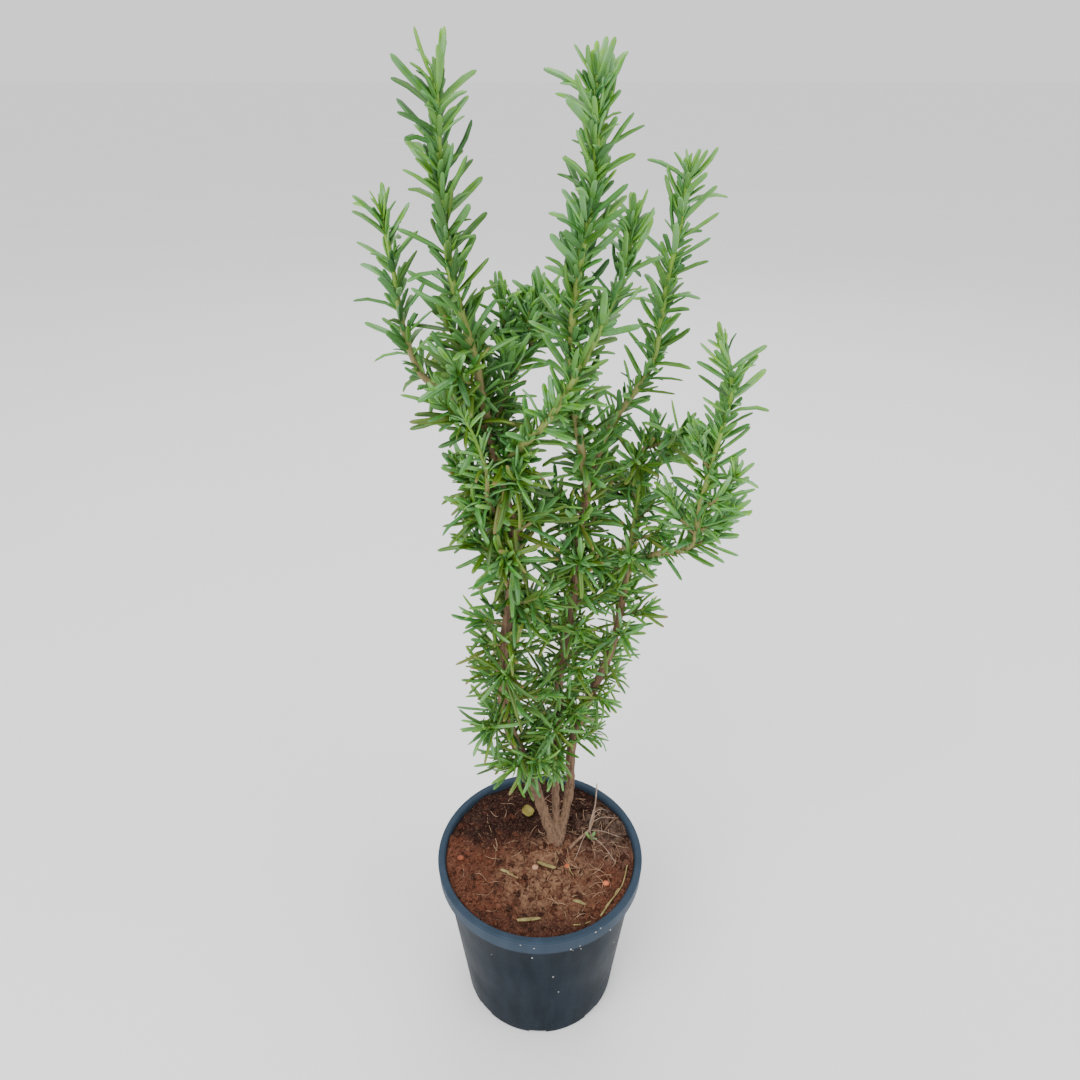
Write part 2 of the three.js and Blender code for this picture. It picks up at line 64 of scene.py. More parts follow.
def smoothstep(low: float, high: float, value: float) -> float:
    """Rises smoothly from 0 at low to 1 at high."""
    share = min(max((value - low) / (high - low), 0.0), 1.0)
    return share * share * (3 - 2 * share)


def any_way(dice: random.Random) -> Vector:
    """Gives a vector with each part from -1 to 1 by chance."""
    return Vector((dice.uniform(-1, 1), dice.uniform(-1, 1), dice.uniform(-1, 1)))


# ---- Colours and shader graphs -------------------------------------------------------------


def srgb(red: int, green: int, blue: int) -> Colour:
    """Turns a colour as seen on screen, 0 to 255, into the linear one that shaders take.

    Args:
        red: Red as seen.
        green: Green as seen.
        blue: Blue as seen.

    Returns:
        The linear colour with an alpha of one.
    """

    def linear(value: int) -> float:
        """Undoes the screen's curve for one channel."""
        share = value / 255
        return share / 12.92 if share <= 0.04045 else ((share + 0.055) / 1.055) ** 2.4

    return (linear(red), linear(green), linear(blue), 1.0)


class Graph:
    """A material's or node group's shader graph, with short calls to add and join nodes."""

    MIX_FACTOR, MIX_A, MIX_B, MIX_RESULT = 0, 6, 7, 2

    def __init__(self, tree: bpy.types.NodeTree) -> None:
        """Starts on a node tree."""
        self.tree = tree

    def put(self, socket: bpy.types.NodeSocket, value: object) -> None:
        """Links a socket into an input, or sets the input to a constant.

        Args:
            socket: The input.
            value: A socket or a constant.
        """
        if isinstance(value, bpy.types.NodeSocket):
            self.tree.links.new(value, socket)
        else:
            socket.default_value = value

    def add(self, kind: str, values: dict | None = None, **settings: object) -> bpy.types.Node:
        """Adds a node, sets its properties and sets or links its inputs.

        Args:
            kind: Blender's name of the node type.
            values: Input name or number to a constant, or to a socket that feeds it.
            **settings: Properties of the node itself.

        Returns:
            The new node.
        """
        node = self.tree.nodes.new(kind)
        for name, value in settings.items():
            setattr(node, name, value)
        for key, value in (values or {}).items():
            self.put(node.inputs[key], value)
        return node

    def math(self, operation: str, first: object, second: object = 0.0) -> bpy.types.NodeSocket:
        """Works out one sum of two values, each a number or a socket, kept from 0 to 1."""
        node = self.add("ShaderNodeMath", {0: first, 1: second}, operation=operation, use_clamp=True)
        return node.outputs[0]

    def times(self, first: object, second: object) -> bpy.types.NodeSocket:
        """Multiplies two values."""
        return self.math("MULTIPLY", first, second)

    def plus(self, first: object, second: object) -> bpy.types.NodeSocket:
        """Adds two values, up to 1."""
        return self.math("ADD", first, second)

    def near(self, value: object, middle: float, reach: float) -> bpy.types.NodeSocket:
        """Gives 1 where a value lies within reach of the middle one, and 0 elsewhere."""
        return self.add("ShaderNodeMath", {0: value, 1: middle, 2: reach}, operation="COMPARE").outputs[0]

    def spread(self, value: object, low: float, high: float, top: float = 1.0) -> bpy.types.NodeSocket:
        """Turns a value that runs from low to high, which may be the lower one, into 0 to top."""
        return self.add("ShaderNodeMapRange", {0: value, 1: low, 2: high, 3: 0.0, 4: top}).outputs[0]

    def mix(self, share: object, first: object, second: object) -> bpy.types.NodeSocket:
        """Mixes two colours.

        Args:
            share: How much of the second colour, as a number or a socket.
            first: A colour or a socket.
            second: A colour or a socket.

        Returns:
            The mixed colour's socket.
        """
        node = self.add("ShaderNodeMix", data_type="RGBA")
        self.put(node.inputs[self.MIX_FACTOR], share)
        self.put(node.inputs[self.MIX_A], first)
        self.put(node.inputs[self.MIX_B], second)
        return node.outputs[self.MIX_RESULT]

    def ramp(self, value: bpy.types.NodeSocket, stops: list[tuple[float, Colour]]) -> bpy.types.NodeSocket:
        """Runs a value through a colour ramp.

        Args:
            value: The value's socket.
            stops: Places from 0 to 1 and their colours, in order.

        Returns:
            The colour's socket.
        """
        node = self.add("ShaderNodeValToRGB", {"Fac": value})
        elements = node.color_ramp.elements
        while len(elements) < len(stops):
            elements.new(0.5)
        for element, (place, colour) in zip(elements, stops):
            element.position = place
            element.color = colour
        return node.outputs["Color"]

    def noise(self, vector: bpy.types.NodeSocket, scale: float, detail: float = 4.0) -> bpy.types.NodeSocket:
        """Adds a noise texture and gives its value, about 0.3 to 0.7."""
        node = self.add("ShaderNodeTexNoise", {"Vector": vector, "Scale": scale, "Detail": detail})
        return node.outputs["Fac"]

    def attribute(self, name: str) -> bpy.types.NodeSocket:
        """Reads a value that the mesh carries at each vertex."""
        return self.add("ShaderNodeAttribute", attribute_name=name).outputs["Fac"]

    def place(self) -> bpy.types.NodeSocket:
        """Reads Object coordinates."""
        return self.add("ShaderNodeTexCoord").outputs["Object"]

    def split(self, vector: bpy.types.NodeSocket) -> bpy.types.Node:
        """Splits a vector. The node's outputs are X, Y and Z."""
        return self.add("ShaderNodeSeparateXYZ", {"Vector": vector})

    def upright(self, place: bpy.types.NodeSocket, share: float) -> bpy.types.NodeSocket:
        """Squeezes coordinates to a share of their height, so that a pattern on them runs upwards."""
        return self.add("ShaderNodeMapping", {"Vector": place, "Scale": (1.0, 1.0, share)}).outputs["Vector"]

    def bump(self, height: bpy.types.NodeSocket, strength: float, depth: float) -> bpy.types.NodeSocket:
        """Raises a surface by a height value, of which one stands for so many metres of depth."""
        values = {"Strength": strength, "Distance": depth, "Height": height}
        return self.add("ShaderNodeBump", values).outputs["Normal"]

    def mottle(
        self, patch_scale: float, speck_scale: float
    ) -> tuple[bpy.types.NodeSocket, bpy.types.NodeSocket]:
        """Places the shared mottle group on Object coordinates.

        Args:
            patch_scale: Scale of the patches.
            speck_scale: Scale of the speckle.

        Returns:
            The sockets of the patches and the speckle, both masks from 0 to 1.
        """
        node = self.add("ShaderNodeGroup", node_tree=mottle_group())
        self.put(node.inputs["Vector"], self.place())
        self.put(node.inputs["Patch Scale"], patch_scale)
        self.put(node.inputs["Speck Scale"], speck_scale)
        return node.outputs["Patches"], node.outputs["Speckle"]


def mottle_group() -> bpy.types.NodeTree:
    """Builds, once, the group that gives natural patches and fine speckle to any surface.

    Returns:
        The node group, with outputs Patches and Speckle, both masks from 0 to 1.
    """
    found = bpy.data.node_groups.get("mottle")
    if found:
        return found
    tree = bpy.data.node_groups.new("mottle", "ShaderNodeTree")
    face = tree.interface
    face.new_socket("Vector", in_out="INPUT", socket_type="NodeSocketVector")
    for name in ("Patch Scale", "Speck Scale"):
        face.new_socket(name, in_out="INPUT", socket_type="NodeSocketFloat")
    for name in ("Patches", "Speckle"):
        face.new_socket(name, in_out="OUTPUT", socket_type="NodeSocketFloat")
    graph = Graph(tree)
    inside = graph.add("NodeGroupInput")
    outside = graph.add("NodeGroupOutput")
    fine = 5.0
    for scale, name, low, high in (
        ("Patch Scale", "Patches", 0.36, 0.64),
        ("Speck Scale", "Speckle", 0.50, 0.72),
    ):
        cloud = graph.noise(inside.outputs["Vector"], inside.outputs[scale], fine)
        graph.put(outside.inputs[name], graph.spread(cloud, low, high))
    return tree


class Finish:
    """A finish that builds its material once and hands it out to each piece that wears it."""

    name: str

    def material(self) -> bpy.types.Material:
        """Gives the material, building it the first time.

        Returns:
            The finish's material.
        """
        found = bpy.data.materials.get(self.name)
        if found:
            return found
        made = bpy.data.materials.new(self.name)
        made.use_nodes = True
        made.node_tree.nodes.clear()
        graph = Graph(made.node_tree)
        shader = graph.add("ShaderNodeBsdfPrincipled")
        output = graph.add("ShaderNodeOutputMaterial")
        graph.put(output.inputs["Surface"], shader.outputs[0])
        for name, value in self.paint(graph).items():
            graph.put(shader.inputs[name], value)
        return made

    def paint(self, graph: Graph) -> dict[str, object]:
        """Builds the finish's own nodes.

        Args:
            graph: The material's graph.

        Returns:
            The Principled inputs by name, each a constant or a socket.
        """
        raise NotImplementedError


@dataclass(frozen=True)
class NeedleFinish(Finish):
    """Rosemary needles: glossy green above with painted sheen and a sunk midrib in painted shade, pale and
    felted below.
    """

    name: str = "needle_green"
    deep: Colour = srgb(12, 50, 1)
    mid: Colour = srgb(39, 110, 12)
    light: Colour = srgb(84, 154, 46)
    young: Colour = srgb(134, 194, 44)
    olive: Colour = srgb(104, 124, 26)
    dry: Colour = srgb(124, 100, 58)
    underside: Colour = srgb(100, 150, 88)
    painted_sheen: Colour = srgb(124, 164, 144)

    MOTTLE = (220.0, 1100.0)
    # Where each change starts and is full, and how strong it is then, by the needle's age.
    YOUNG = (0.36, 0.0)
    OLIVE = (0.36, 0.76, 0.7)
    SHEEN = (0.6, 0.15, 0.7)
    FELTED = (0.9, 0.2, 0.5)
    SCORCHED = (0.62, 0.8)
    DRIED = (0.84, 0.96)
    # The same along the blade.
    PALE_ROOT = (0.16, 0.0, 0.6)
    GROOVE_RUN = (0.96, 0.8, 0.45)
    SCORCHED_TIP = (0.86, 0.98)
    # Middle and half width of a band, as shares of the way round the blade.
    MIDRIB = (0.25, 0.035)
    FELT = (0.75, 0.19)
    SPECKS = 0.06
    ROUGHNESS, FELT_ROUGHNESS = 0.4, 0.35
    GROOVE_STRENGTH, GROOVE_DEPTH = 0.3, 0.0002

    def paint(self, graph: Graph) -> dict[str, object]:
        """Colours each needle by its tone and age, and along and across its blade.

        Args:
            graph: The material's graph.

        Returns:
            The Principled inputs by name.
        """
        tone, age = graph.attribute("tone"), graph.attribute("age")
        blade = graph.split(graph.add("ShaderNodeUVMap", uv_map="blade").outputs["UV"])
        across, along = blade.outputs["X"], blade.outputs["Y"]
        patches, speckle = graph.mottle(*self.MOTTLE)
        green = graph.ramp(tone, [(0.0, self.deep), (0.5, self.mid), (1.0, self.light)])
        green = graph.mix(graph.spread(age, *self.YOUNG), green, self.young)
        green = graph.mix(graph.spread(age, *self.OLIVE), green, self.olive)
        green = graph.mix(graph.spread(along, *self.PALE_ROOT), green, self.young)
        # The groove mask darkens the sunk midrib toward deep green, which is painted shade in the groove, and
        # also sinks it in the bump.
        groove = graph.times(graph.near(across, *self.MIDRIB), graph.spread(along, *self.GROOVE_RUN))
        green = graph.mix(groove, green, self.deep)
        # Bluish patches of painted sheen stand for the gloss highlights on the upper side, more on light,
        # young needles.
        sheen_share = graph.times(tone, graph.spread(age, *self.SHEEN))
        green = graph.mix(graph.times(patches, sheen_share), green, self.painted_sheen)
        felt = graph.near(across, *self.FELT)
        green = graph.mix(graph.times(felt, graph.spread(age, *self.FELTED)), green, self.underside)
        scorched = graph.times(graph.spread(along, *self.SCORCHED_TIP), graph.spread(age, *self.SCORCHED))
        browned = graph.math("MAXIMUM", graph.spread(age, *self.DRIED), scorched)
        colour = graph.mix(browned, green, self.dry)
        colour = graph.mix(graph.times(speckle, self.SPECKS), colour, self.young)
        ridge = graph.math("SUBTRACT", 1.0, groove)
        return {
            "Base Color": colour,
            "Roughness": graph.plus(self.ROUGHNESS, graph.times(felt, self.FELT_ROUGHNESS)),
            "Normal": graph.bump(ridge, self.GROOVE_STRENGTH, self.GROOVE_DEPTH),
        }


@dataclass(frozen=True)
class StemFinish(Finish):
    """Stem skin that runs from tender green through pinkish tan to brown flaking bark."""

    name: str = "stem_skin"
    tender: Colour = srgb(120, 164, 54)
    ripening: Colour = srgb(142, 133, 84)
    woody: Colour = srgb(124, 94, 70)
    bark: Colour = srgb(120, 92, 74)
    crack: Colour = srgb(54, 36, 27)

    MOTTLE = (160.0, 1500.0)
    STREAK_LENGTH = 0.05
    STREAK_SCALE, STREAK_DETAIL = 900.0, 6.0
    CRACKED = (0.52, 0.4)
    CRACKS, PATCHES, SPECKS = 0.5, 0.4, 0.3
    ROUGHNESS, BARK_ROUGHNESS = 0.55, 0.35
    GREEN_RELIEF, STRENGTH, DEPTH = 0.2, 0.9, 0.0012

    def paint(self, graph: Graph) -> dict[str, object]:
        """Colours the stem by how woody it is, with streaks that run up it.

        Args:
            graph: The material's graph.

        Returns:
            The Principled inputs by name.
        """
        wood = graph.attribute("wood")
        upright = graph.upright(graph.place(), self.STREAK_LENGTH)
        streaks = graph.noise(upright, self.STREAK_SCALE, self.STREAK_DETAIL)
        patches, speckle = graph.mottle(*self.MOTTLE)
        stops = [(0.0, self.tender), (0.3, self.ripening), (0.6, self.woody), (1.0, self.bark)]
        colour = graph.ramp(wood, stops)
        colour = graph.mix(graph.times(patches, graph.times(wood, self.PATCHES)), colour, self.woody)
        cracked = graph.times(graph.spread(streaks, *self.CRACKED), graph.times(wood, self.CRACKS))
        colour = graph.mix(cracked, colour, self.crack)
        colour = graph.mix(graph.times(speckle, self.SPECKS), colour, self.ripening)
        height = graph.times(streaks, graph.plus(self.GREEN_RELIEF, wood))
        return {
            "Base Color": colour,
            "Roughness": graph.plus(self.ROUGHNESS, graph.times(wood, self.BARK_ROUGHNESS)),
            "Normal": graph.bump(height, self.STRENGTH, self.DEPTH),
        }


@dataclass(frozen=True)
class PotFinish(Finish):
    """Dark slate-blue moulded plastic with faint dust, scuffs and splashed soil, and a painted highlight on
    the lip.
    """

    name: str = "pot_plastic"
    plastic: Colour = srgb(3, 17, 28)
    lip_light_and_streaks: Colour = srgb(74, 90, 108)
    dust: Colour = srgb(44, 54, 60)

    MOTTLE = (26.0, 700.0)
    STREAK_LENGTH = 0.12
    STREAK_SCALE, STREAK_DETAIL = 110.0, 3.0
    STREAKED = (0.4, 0.65)
    # Heights where the lip's painted highlight and the foot's dust start and are full, and how strong they
    # are.
    LIP = (0.1055, 0.1085, 0.45)
    FOOT = (0.022, 0.0, 0.55)
    STREAKS, DUST_SPECKS, DUST_PATCHES = 0.08, 0.06, 0.07
    ROUGHNESS, PATCH_ROUGHNESS = 0.4, 0.1
    STRENGTH, DEPTH = 0.12, 0.0003

    def paint(self, graph: Graph) -> dict[str, object]:
        """Mottles the plastic, lightens the lip with a painted highlight and lays dust low down and in
        specks.

        Args:
            graph: The material's graph.

        Returns:
            The Principled inputs by name.
        """
        patches, speckle = graph.mottle(*self.MOTTLE)
        place = graph.place()
        height = graph.split(place).outputs["Z"]
        upright = graph.upright(place, self.STREAK_LENGTH)
        streaks = graph.spread(graph.noise(upright, self.STREAK_SCALE, self.STREAK_DETAIL), *self.STREAKED)
        # The lighter lip is painted light: the lip catches more light than the body under it. The faint
        # streaks mixed in are the plastic's own.
        lip_light_and_streaks = graph.plus(graph.spread(height, *self.LIP), graph.times(streaks, self.STREAKS))
        colour = graph.mix(lip_light_and_streaks, self.plastic, self.lip_light_and_streaks)
        grime = graph.plus(self.DUST_SPECKS, graph.spread(height, *self.FOOT))
        grime = graph.plus(graph.times(speckle, grime), graph.times(patches, self.DUST_PATCHES))
        colour = graph.mix(grime, colour, self.dust)
        return {
            "Base Color": colour,
            "Roughness": graph.plus(self.ROUGHNESS, graph.times(patches, self.PATCH_ROUGHNESS)),
            "Normal": graph.bump(speckle, self.STRENGTH, self.DEPTH),
            "Specular IOR Level": 0.05,
        }


@dataclass(frozen=True)
class SoilFinish(Finish):
    """Coir potting mix: chocolate at the back left, pale in the middle, greyish at the right."""

    name: str = "soil_mix"
    dark: Colour = srgb(26, 10, 8)
    chocolate: Colour = srgb(42, 21, 18)
    brown: Colour = srgb(88, 53, 40)
    red: Colour = srgb(106, 57, 39)
    beige: Colour = srgb(152, 122, 95)
    grey: Colour = srgb(104, 88, 77)

    MOTTLE = (90.0, 1400.0)
    GRAIN_SCALE, GRAIN_DETAIL = 700.0, 5.0
    CLOUD_SCALE, CLOUD_DETAIL = 55.0, 3.0
    WANDER = 0.03
    # Places across or in depth where each region starts and is full.
    FRONT, RIGHT, RIM = (0.014, -0.002), (0.018, 0.036), (-0.036, -0.050, 0.5)
    DULL_FRONT, DULL_BACK = (-0.02, 0.008), (0.044, 0.03)
    PALE_MIDDLE, PALE_REACH = (0.004, -0.020, 0.115), (0.038, 0.016)
    # Shares of a clod's tone, or of a grain's noise, for each tint.
    PALE_TONE, DULL_TONE = (0.3, 0.9), (0.2, 0.9)
    RED_TONE, DARK_TONE = (0.62, 1.0, 0.35), (0.4, 0.05, 0.75)
    DARK_GRAIN, PALE_GRAIN = (0.46, 0.34, 0.6), (0.56, 0.7, 0.3)
    RED_PATCHES, PALE, SPECKS = 0.5, 0.75, 0.16
    STRENGTH, DEPTH = 0.8, 0.0012

    def paint(self, graph: Graph) -> dict[str, object]:
        """Tints the mix by region, by clod and by grain.

        Args:
            graph: The material's graph.

        Returns:
            The Principled inputs by name.
        """
        place, tone = graph.place(), graph.attribute("tone")
        split = graph.split(place)
        patches, speckle = graph.mottle(*self.MOTTLE)
        grains = graph.noise(place, self.GRAIN_SCALE, self.GRAIN_DETAIL)
        cloud = graph.noise(place, self.CLOUD_SCALE, self.CLOUD_DETAIL)
        sway = {0: cloud, 1: self.WANDER, 2: -self.WANDER / 2}
        wander = graph.add("ShaderNodeMath", sway, operation="MULTIPLY_ADD").outputs[0]
        x, y = (
            graph.add("ShaderNodeMath", {0: split.outputs[axis], 1: wander}, operation="ADD").outputs[0]
            for axis in ("X", "Y")
        )
        front, rim = graph.spread(y, *self.FRONT), graph.spread(y, *self.RIM)
        right = graph.spread(x, *self.RIGHT)
        colour = graph.mix(front, self.chocolate, self.brown)
        colour = graph.mix(graph.times(graph.times(front, patches), self.RED_PATCHES), colour, self.red)
        apart = graph.add("ShaderNodeVectorMath", {0: place, 1: self.PALE_MIDDLE}, operation="DISTANCE")
        pale = graph.spread(apart.outputs["Value"], *self.PALE_REACH)
        pale = graph.times(pale, graph.spread(tone, *self.PALE_TONE))
        colour = graph.mix(graph.times(pale, self.PALE), colour, self.beige)
        dull = graph.times(right, graph.spread(y, *self.DULL_FRONT))
        dull = graph.times(dull, graph.spread(y, *self.DULL_BACK))
        colour = graph.mix(graph.times(dull, graph.spread(tone, *self.DULL_TONE)), colour, self.grey)
        colour = graph.mix(rim, colour, self.chocolate)
        colour = graph.mix(graph.spread(tone, *self.RED_TONE), colour, self.red)
        colour = graph.mix(graph.spread(tone, *self.DARK_TONE), colour, self.dark)
        colour = graph.mix(graph.spread(grains, *self.DARK_GRAIN), colour, self.dark)
        colour = graph.mix(graph.spread(grains, *self.PALE_GRAIN), colour, self.beige)
        colour = graph.mix(graph.times(speckle, self.SPECKS), colour, self.beige)
        normal = graph.bump(grains, self.STRENGTH, self.DEPTH)
        return {"Base Color": colour, "Roughness": 0.95, "Specular IOR Level": 0.15, "Normal": normal}


@dataclass(frozen=True)
class PlainNaturalFinish(Finish):
    """A mottled natural finish with a main and a second colour, for the small loose things."""

    name: str
    main: Colour
    second: Colour
    roughness: float = 0.8
    patch_scale: float = 300.0

    FINER = 6
    SPECKS = 0.3
    STRENGTH, DEPTH = 0.5, 0.0004

    def paint(self, graph: Graph) -> dict[str, object]:
        """Mixes the two colours in patches and specks.

        Args:
            graph: The material's graph.

        Returns:
            The Principled inputs by name.
        """
        patches, speckle = graph.mottle(self.patch_scale, self.patch_scale * self.FINER)
        colour = graph.mix(patches, self.main, self.second)
        colour = graph.mix(graph.times(speckle, self.SPECKS), colour, self.main)
        normal = graph.bump(speckle, self.STRENGTH, self.DEPTH)
        return {"Base Color": colour, "Roughness": self.roughness, "Normal": normal}


NEEDLE_GREEN = NeedleFinish()
STEM_SKIN = StemFinish()
POT_PLASTIC = PotFinish()
SOIL_MIX = SoilFinish()
COIR_FIBRE = PlainNaturalFinish("coir_fibre", srgb(132, 96, 72), srgb(176, 146, 116))
DEAD_NEEDLE = PlainNaturalFinish("dead_needle_straw", srgb(158, 142, 92), srgb(116, 106, 60))
GREY_STALK = PlainNaturalFinish("grey_stalk", srgb(172, 148, 130), srgb(132, 110, 96))
DRY_TWIG = PlainNaturalFinish("dry_twig_bark", srgb(150, 118, 92), srgb(104, 76, 60))
YELLOW_LEAF = PlainNaturalFinish("fallen_leaf_yellow", srgb(146, 130, 62), srgb(122, 116, 40), 0.6)
ORANGE_CLAY = PlainNaturalFinish("orange_clay", srgb(216, 118, 76), srgb(172, 86, 54), 0.85)
DULL_CLAY = PlainNaturalFinish("dull_clay", srgb(158, 86, 56), srgb(118, 62, 42), 0.85)
PINK_LUMP = PlainNaturalFinish("pinkish_lump", srgb(196, 150, 124), srgb(160, 112, 90), 0.85)
PALE_GRIT = PlainNaturalFinish("pale_grit", srgb(206, 204, 200), srgb(168, 164, 158), 0.8)
PALE_FLOOR = PlainNaturalFinish("pale_floor", srgb(250, 250, 250), srgb(248, 248, 249), 0.9, 3.0)


# ---- Mesh helpers --------------------------------------------------------------------------


def to_object(
    name: str, shape: bmesh.types.BMesh, finish: Finish, smooth: bool | None = True
) -> bpy.types.Object:
    """Turns a finished bmesh into an object at the origin, wearing a finish.

    Args:
        name: The object's name.
        shape: The bmesh, which is freed.
        finish: What it wears.
        smooth: Whether its faces are shaded smooth. None leaves each face as it is.

    Returns:
        The new object.
    """
    for face in shape.faces:
        face.smooth = face.smooth if smooth is None else smooth
    mesh = bpy.data.meshes.new(name)
    shape.to_mesh(mesh)
    shape.free()
    piece = bpy.data.objects.new(name, mesh)
    bpy.context.scene.collection.objects.link(piece)
    mesh.materials.append(finish.material())
    return piece


def settle(piece: bpy.types.Object, slot: str, *nodes: str) -> bpy.types.Object:
    """Rides a piece on the part's one body, hides the nodes that it stands for, and logs its slot and those
    nodes.

    Args:
        piece: The piece.
        slot: The name of its material slot, which is only logged.
        *nodes: CAD nodes that it replaces.

    Returns:
        The same piece.
    """
    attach(piece, BODY)
    if nodes:
        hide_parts(*nodes)
    faces, known = len(piece.data.polygons), nodes or "itself"
    LOG.info("%s: %d faces, slot %s, stands for %s", piece.name, faces, slot, known)
    return piece


def apply_modifier(piece: bpy.types.Object, kind: str, **settings: object) -> None:
    """Adds a modifier to a piece and applies it at once.

    Args:
        piece: The piece.
        kind: Blender's name of the modifier type.
        **settings: The modifier's properties.
    """
    modifier = piece.modifiers.new(kind.lower(), kind)
    for name, value in settings.items():
        setattr(modifier, name, value)
    depsgraph = bpy.context.evaluated_depsgraph_get()
    mesh = bpy.data.meshes.new_from_object(piece.evaluated_get(depsgraph))
    piece.modifiers.clear()
    old, name = piece.data, piece.data.name
    piece.data = mesh
    bpy.data.meshes.remove(old)
    mesh.name = name


def absorb(shape: bmesh.types.BMesh, part: bmesh.types.BMesh) -> None:
    """Adds one bmesh to another and frees it. It is far quicker to shape parts on their own.

    Args:
        shape: The bmesh that grows.
        part: The bmesh that is added.
    """
    mesh = bpy.data.meshes.new("part")
    part.to_mesh(mesh)
    part.free()
    shape.from_mesh(mesh)
    bpy.data.meshes.remove(mesh)


def extrude_rings(shape: bmesh.types.BMesh, sides: int, count: int) -> list[list[bmesh.types.BMVert]]:
    """Extrudes a closed rod with so many rings of vertices. The caller puts the rings in place.

    Extruding keeps the face that it starts from. Only the first is wanted, as the rod's end.

    Args:
        shape: The bmesh that it goes into.
        sides: Vertices in a ring.
        count: Number of rings.

    Returns:
        The rings in order, each in the same order round.
    """
    rings = [bmesh.ops.create_circle(shape, cap_ends=True, segments=sides, radius=1.0)["verts"]]
    face = rings[0][0].link_faces[0]
    for number in range(count - 1):
        grown = bmesh.ops.extrude_face_region(shape, geom=[face])["geom"]
        fresh = {item for item in grown if isinstance(item, bmesh.types.BMVert)}
        inner, face = face, next(item for item in grown if isinstance(item, bmesh.types.BMFace))
        if number:
            shape.faces.remove(inner)
        follow = ([edge.other_vert(old) for edge in old.link_edges] for old in rings[-1])
        rings.append([next(vert for vert in beside if vert in fresh) for beside in follow])
    return rings


def spin_profile(profile: list[tuple[float, float]], steps: int) -> bmesh.types.BMesh:
    """Turns a profile of radius and height round the Z axis.

    Args:
        profile: The profile's points. It is closed if its ends are on the axis or the same.
        steps: How many steps make the full turn.

    Returns:
        The new bmesh, with its normals outward.
    """
    shape = bmesh.new()
    verts = [shape.verts.new((radius, 0.0, height)) for radius, height in profile]
    edges = [shape.edges.new(pair) for pair in zip(verts, verts[1:])]
    bmesh.ops.spin(
        shape, geom=verts + edges, axis=(0, 0, 1), cent=(0, 0, 0), angle=math.tau, steps=steps, use_merge=True
    )
    bmesh.ops.remove_doubles(shape, verts=shape.verts, dist=TINY)
    bmesh.ops.recalc_face_normals(shape, faces=shape.faces)
    return shape


def rounded(corners: list[tuple[float, float, float]], steps: int = 4) -> list[tuple[float, float]]:
    """Rounds the corners of an open profile.

    Args:
        corners: Radius, height and size of rounding at each corner, 0 for a sharp one.
        steps: Steps in each rounding.

    Returns:
        The rounded profile.
    """
    points, most = [], 0.45
    for number, (radius, height, size) in enumerate(corners):
        here = Vector((radius, height))
        if size == 0 or number in (0, len(corners) - 1):
            points.append(tuple(here))
            continue
        before, after = Vector(corners[number - 1][:2]), Vector(corners[number + 1][:2])
        start = here + (before - here).normalized() * min(size, (before - here).length * most)
        end = here + (after - here).normalized() * min(size, (after - here).length * most)
        for step in range(steps + 1):
            share = step / steps
            points.append(tuple(start.lerp(here, share).lerp(here.lerp(end, share), share)))
    return points


# ---- Limbs ---------------------------------------------------------------------------------


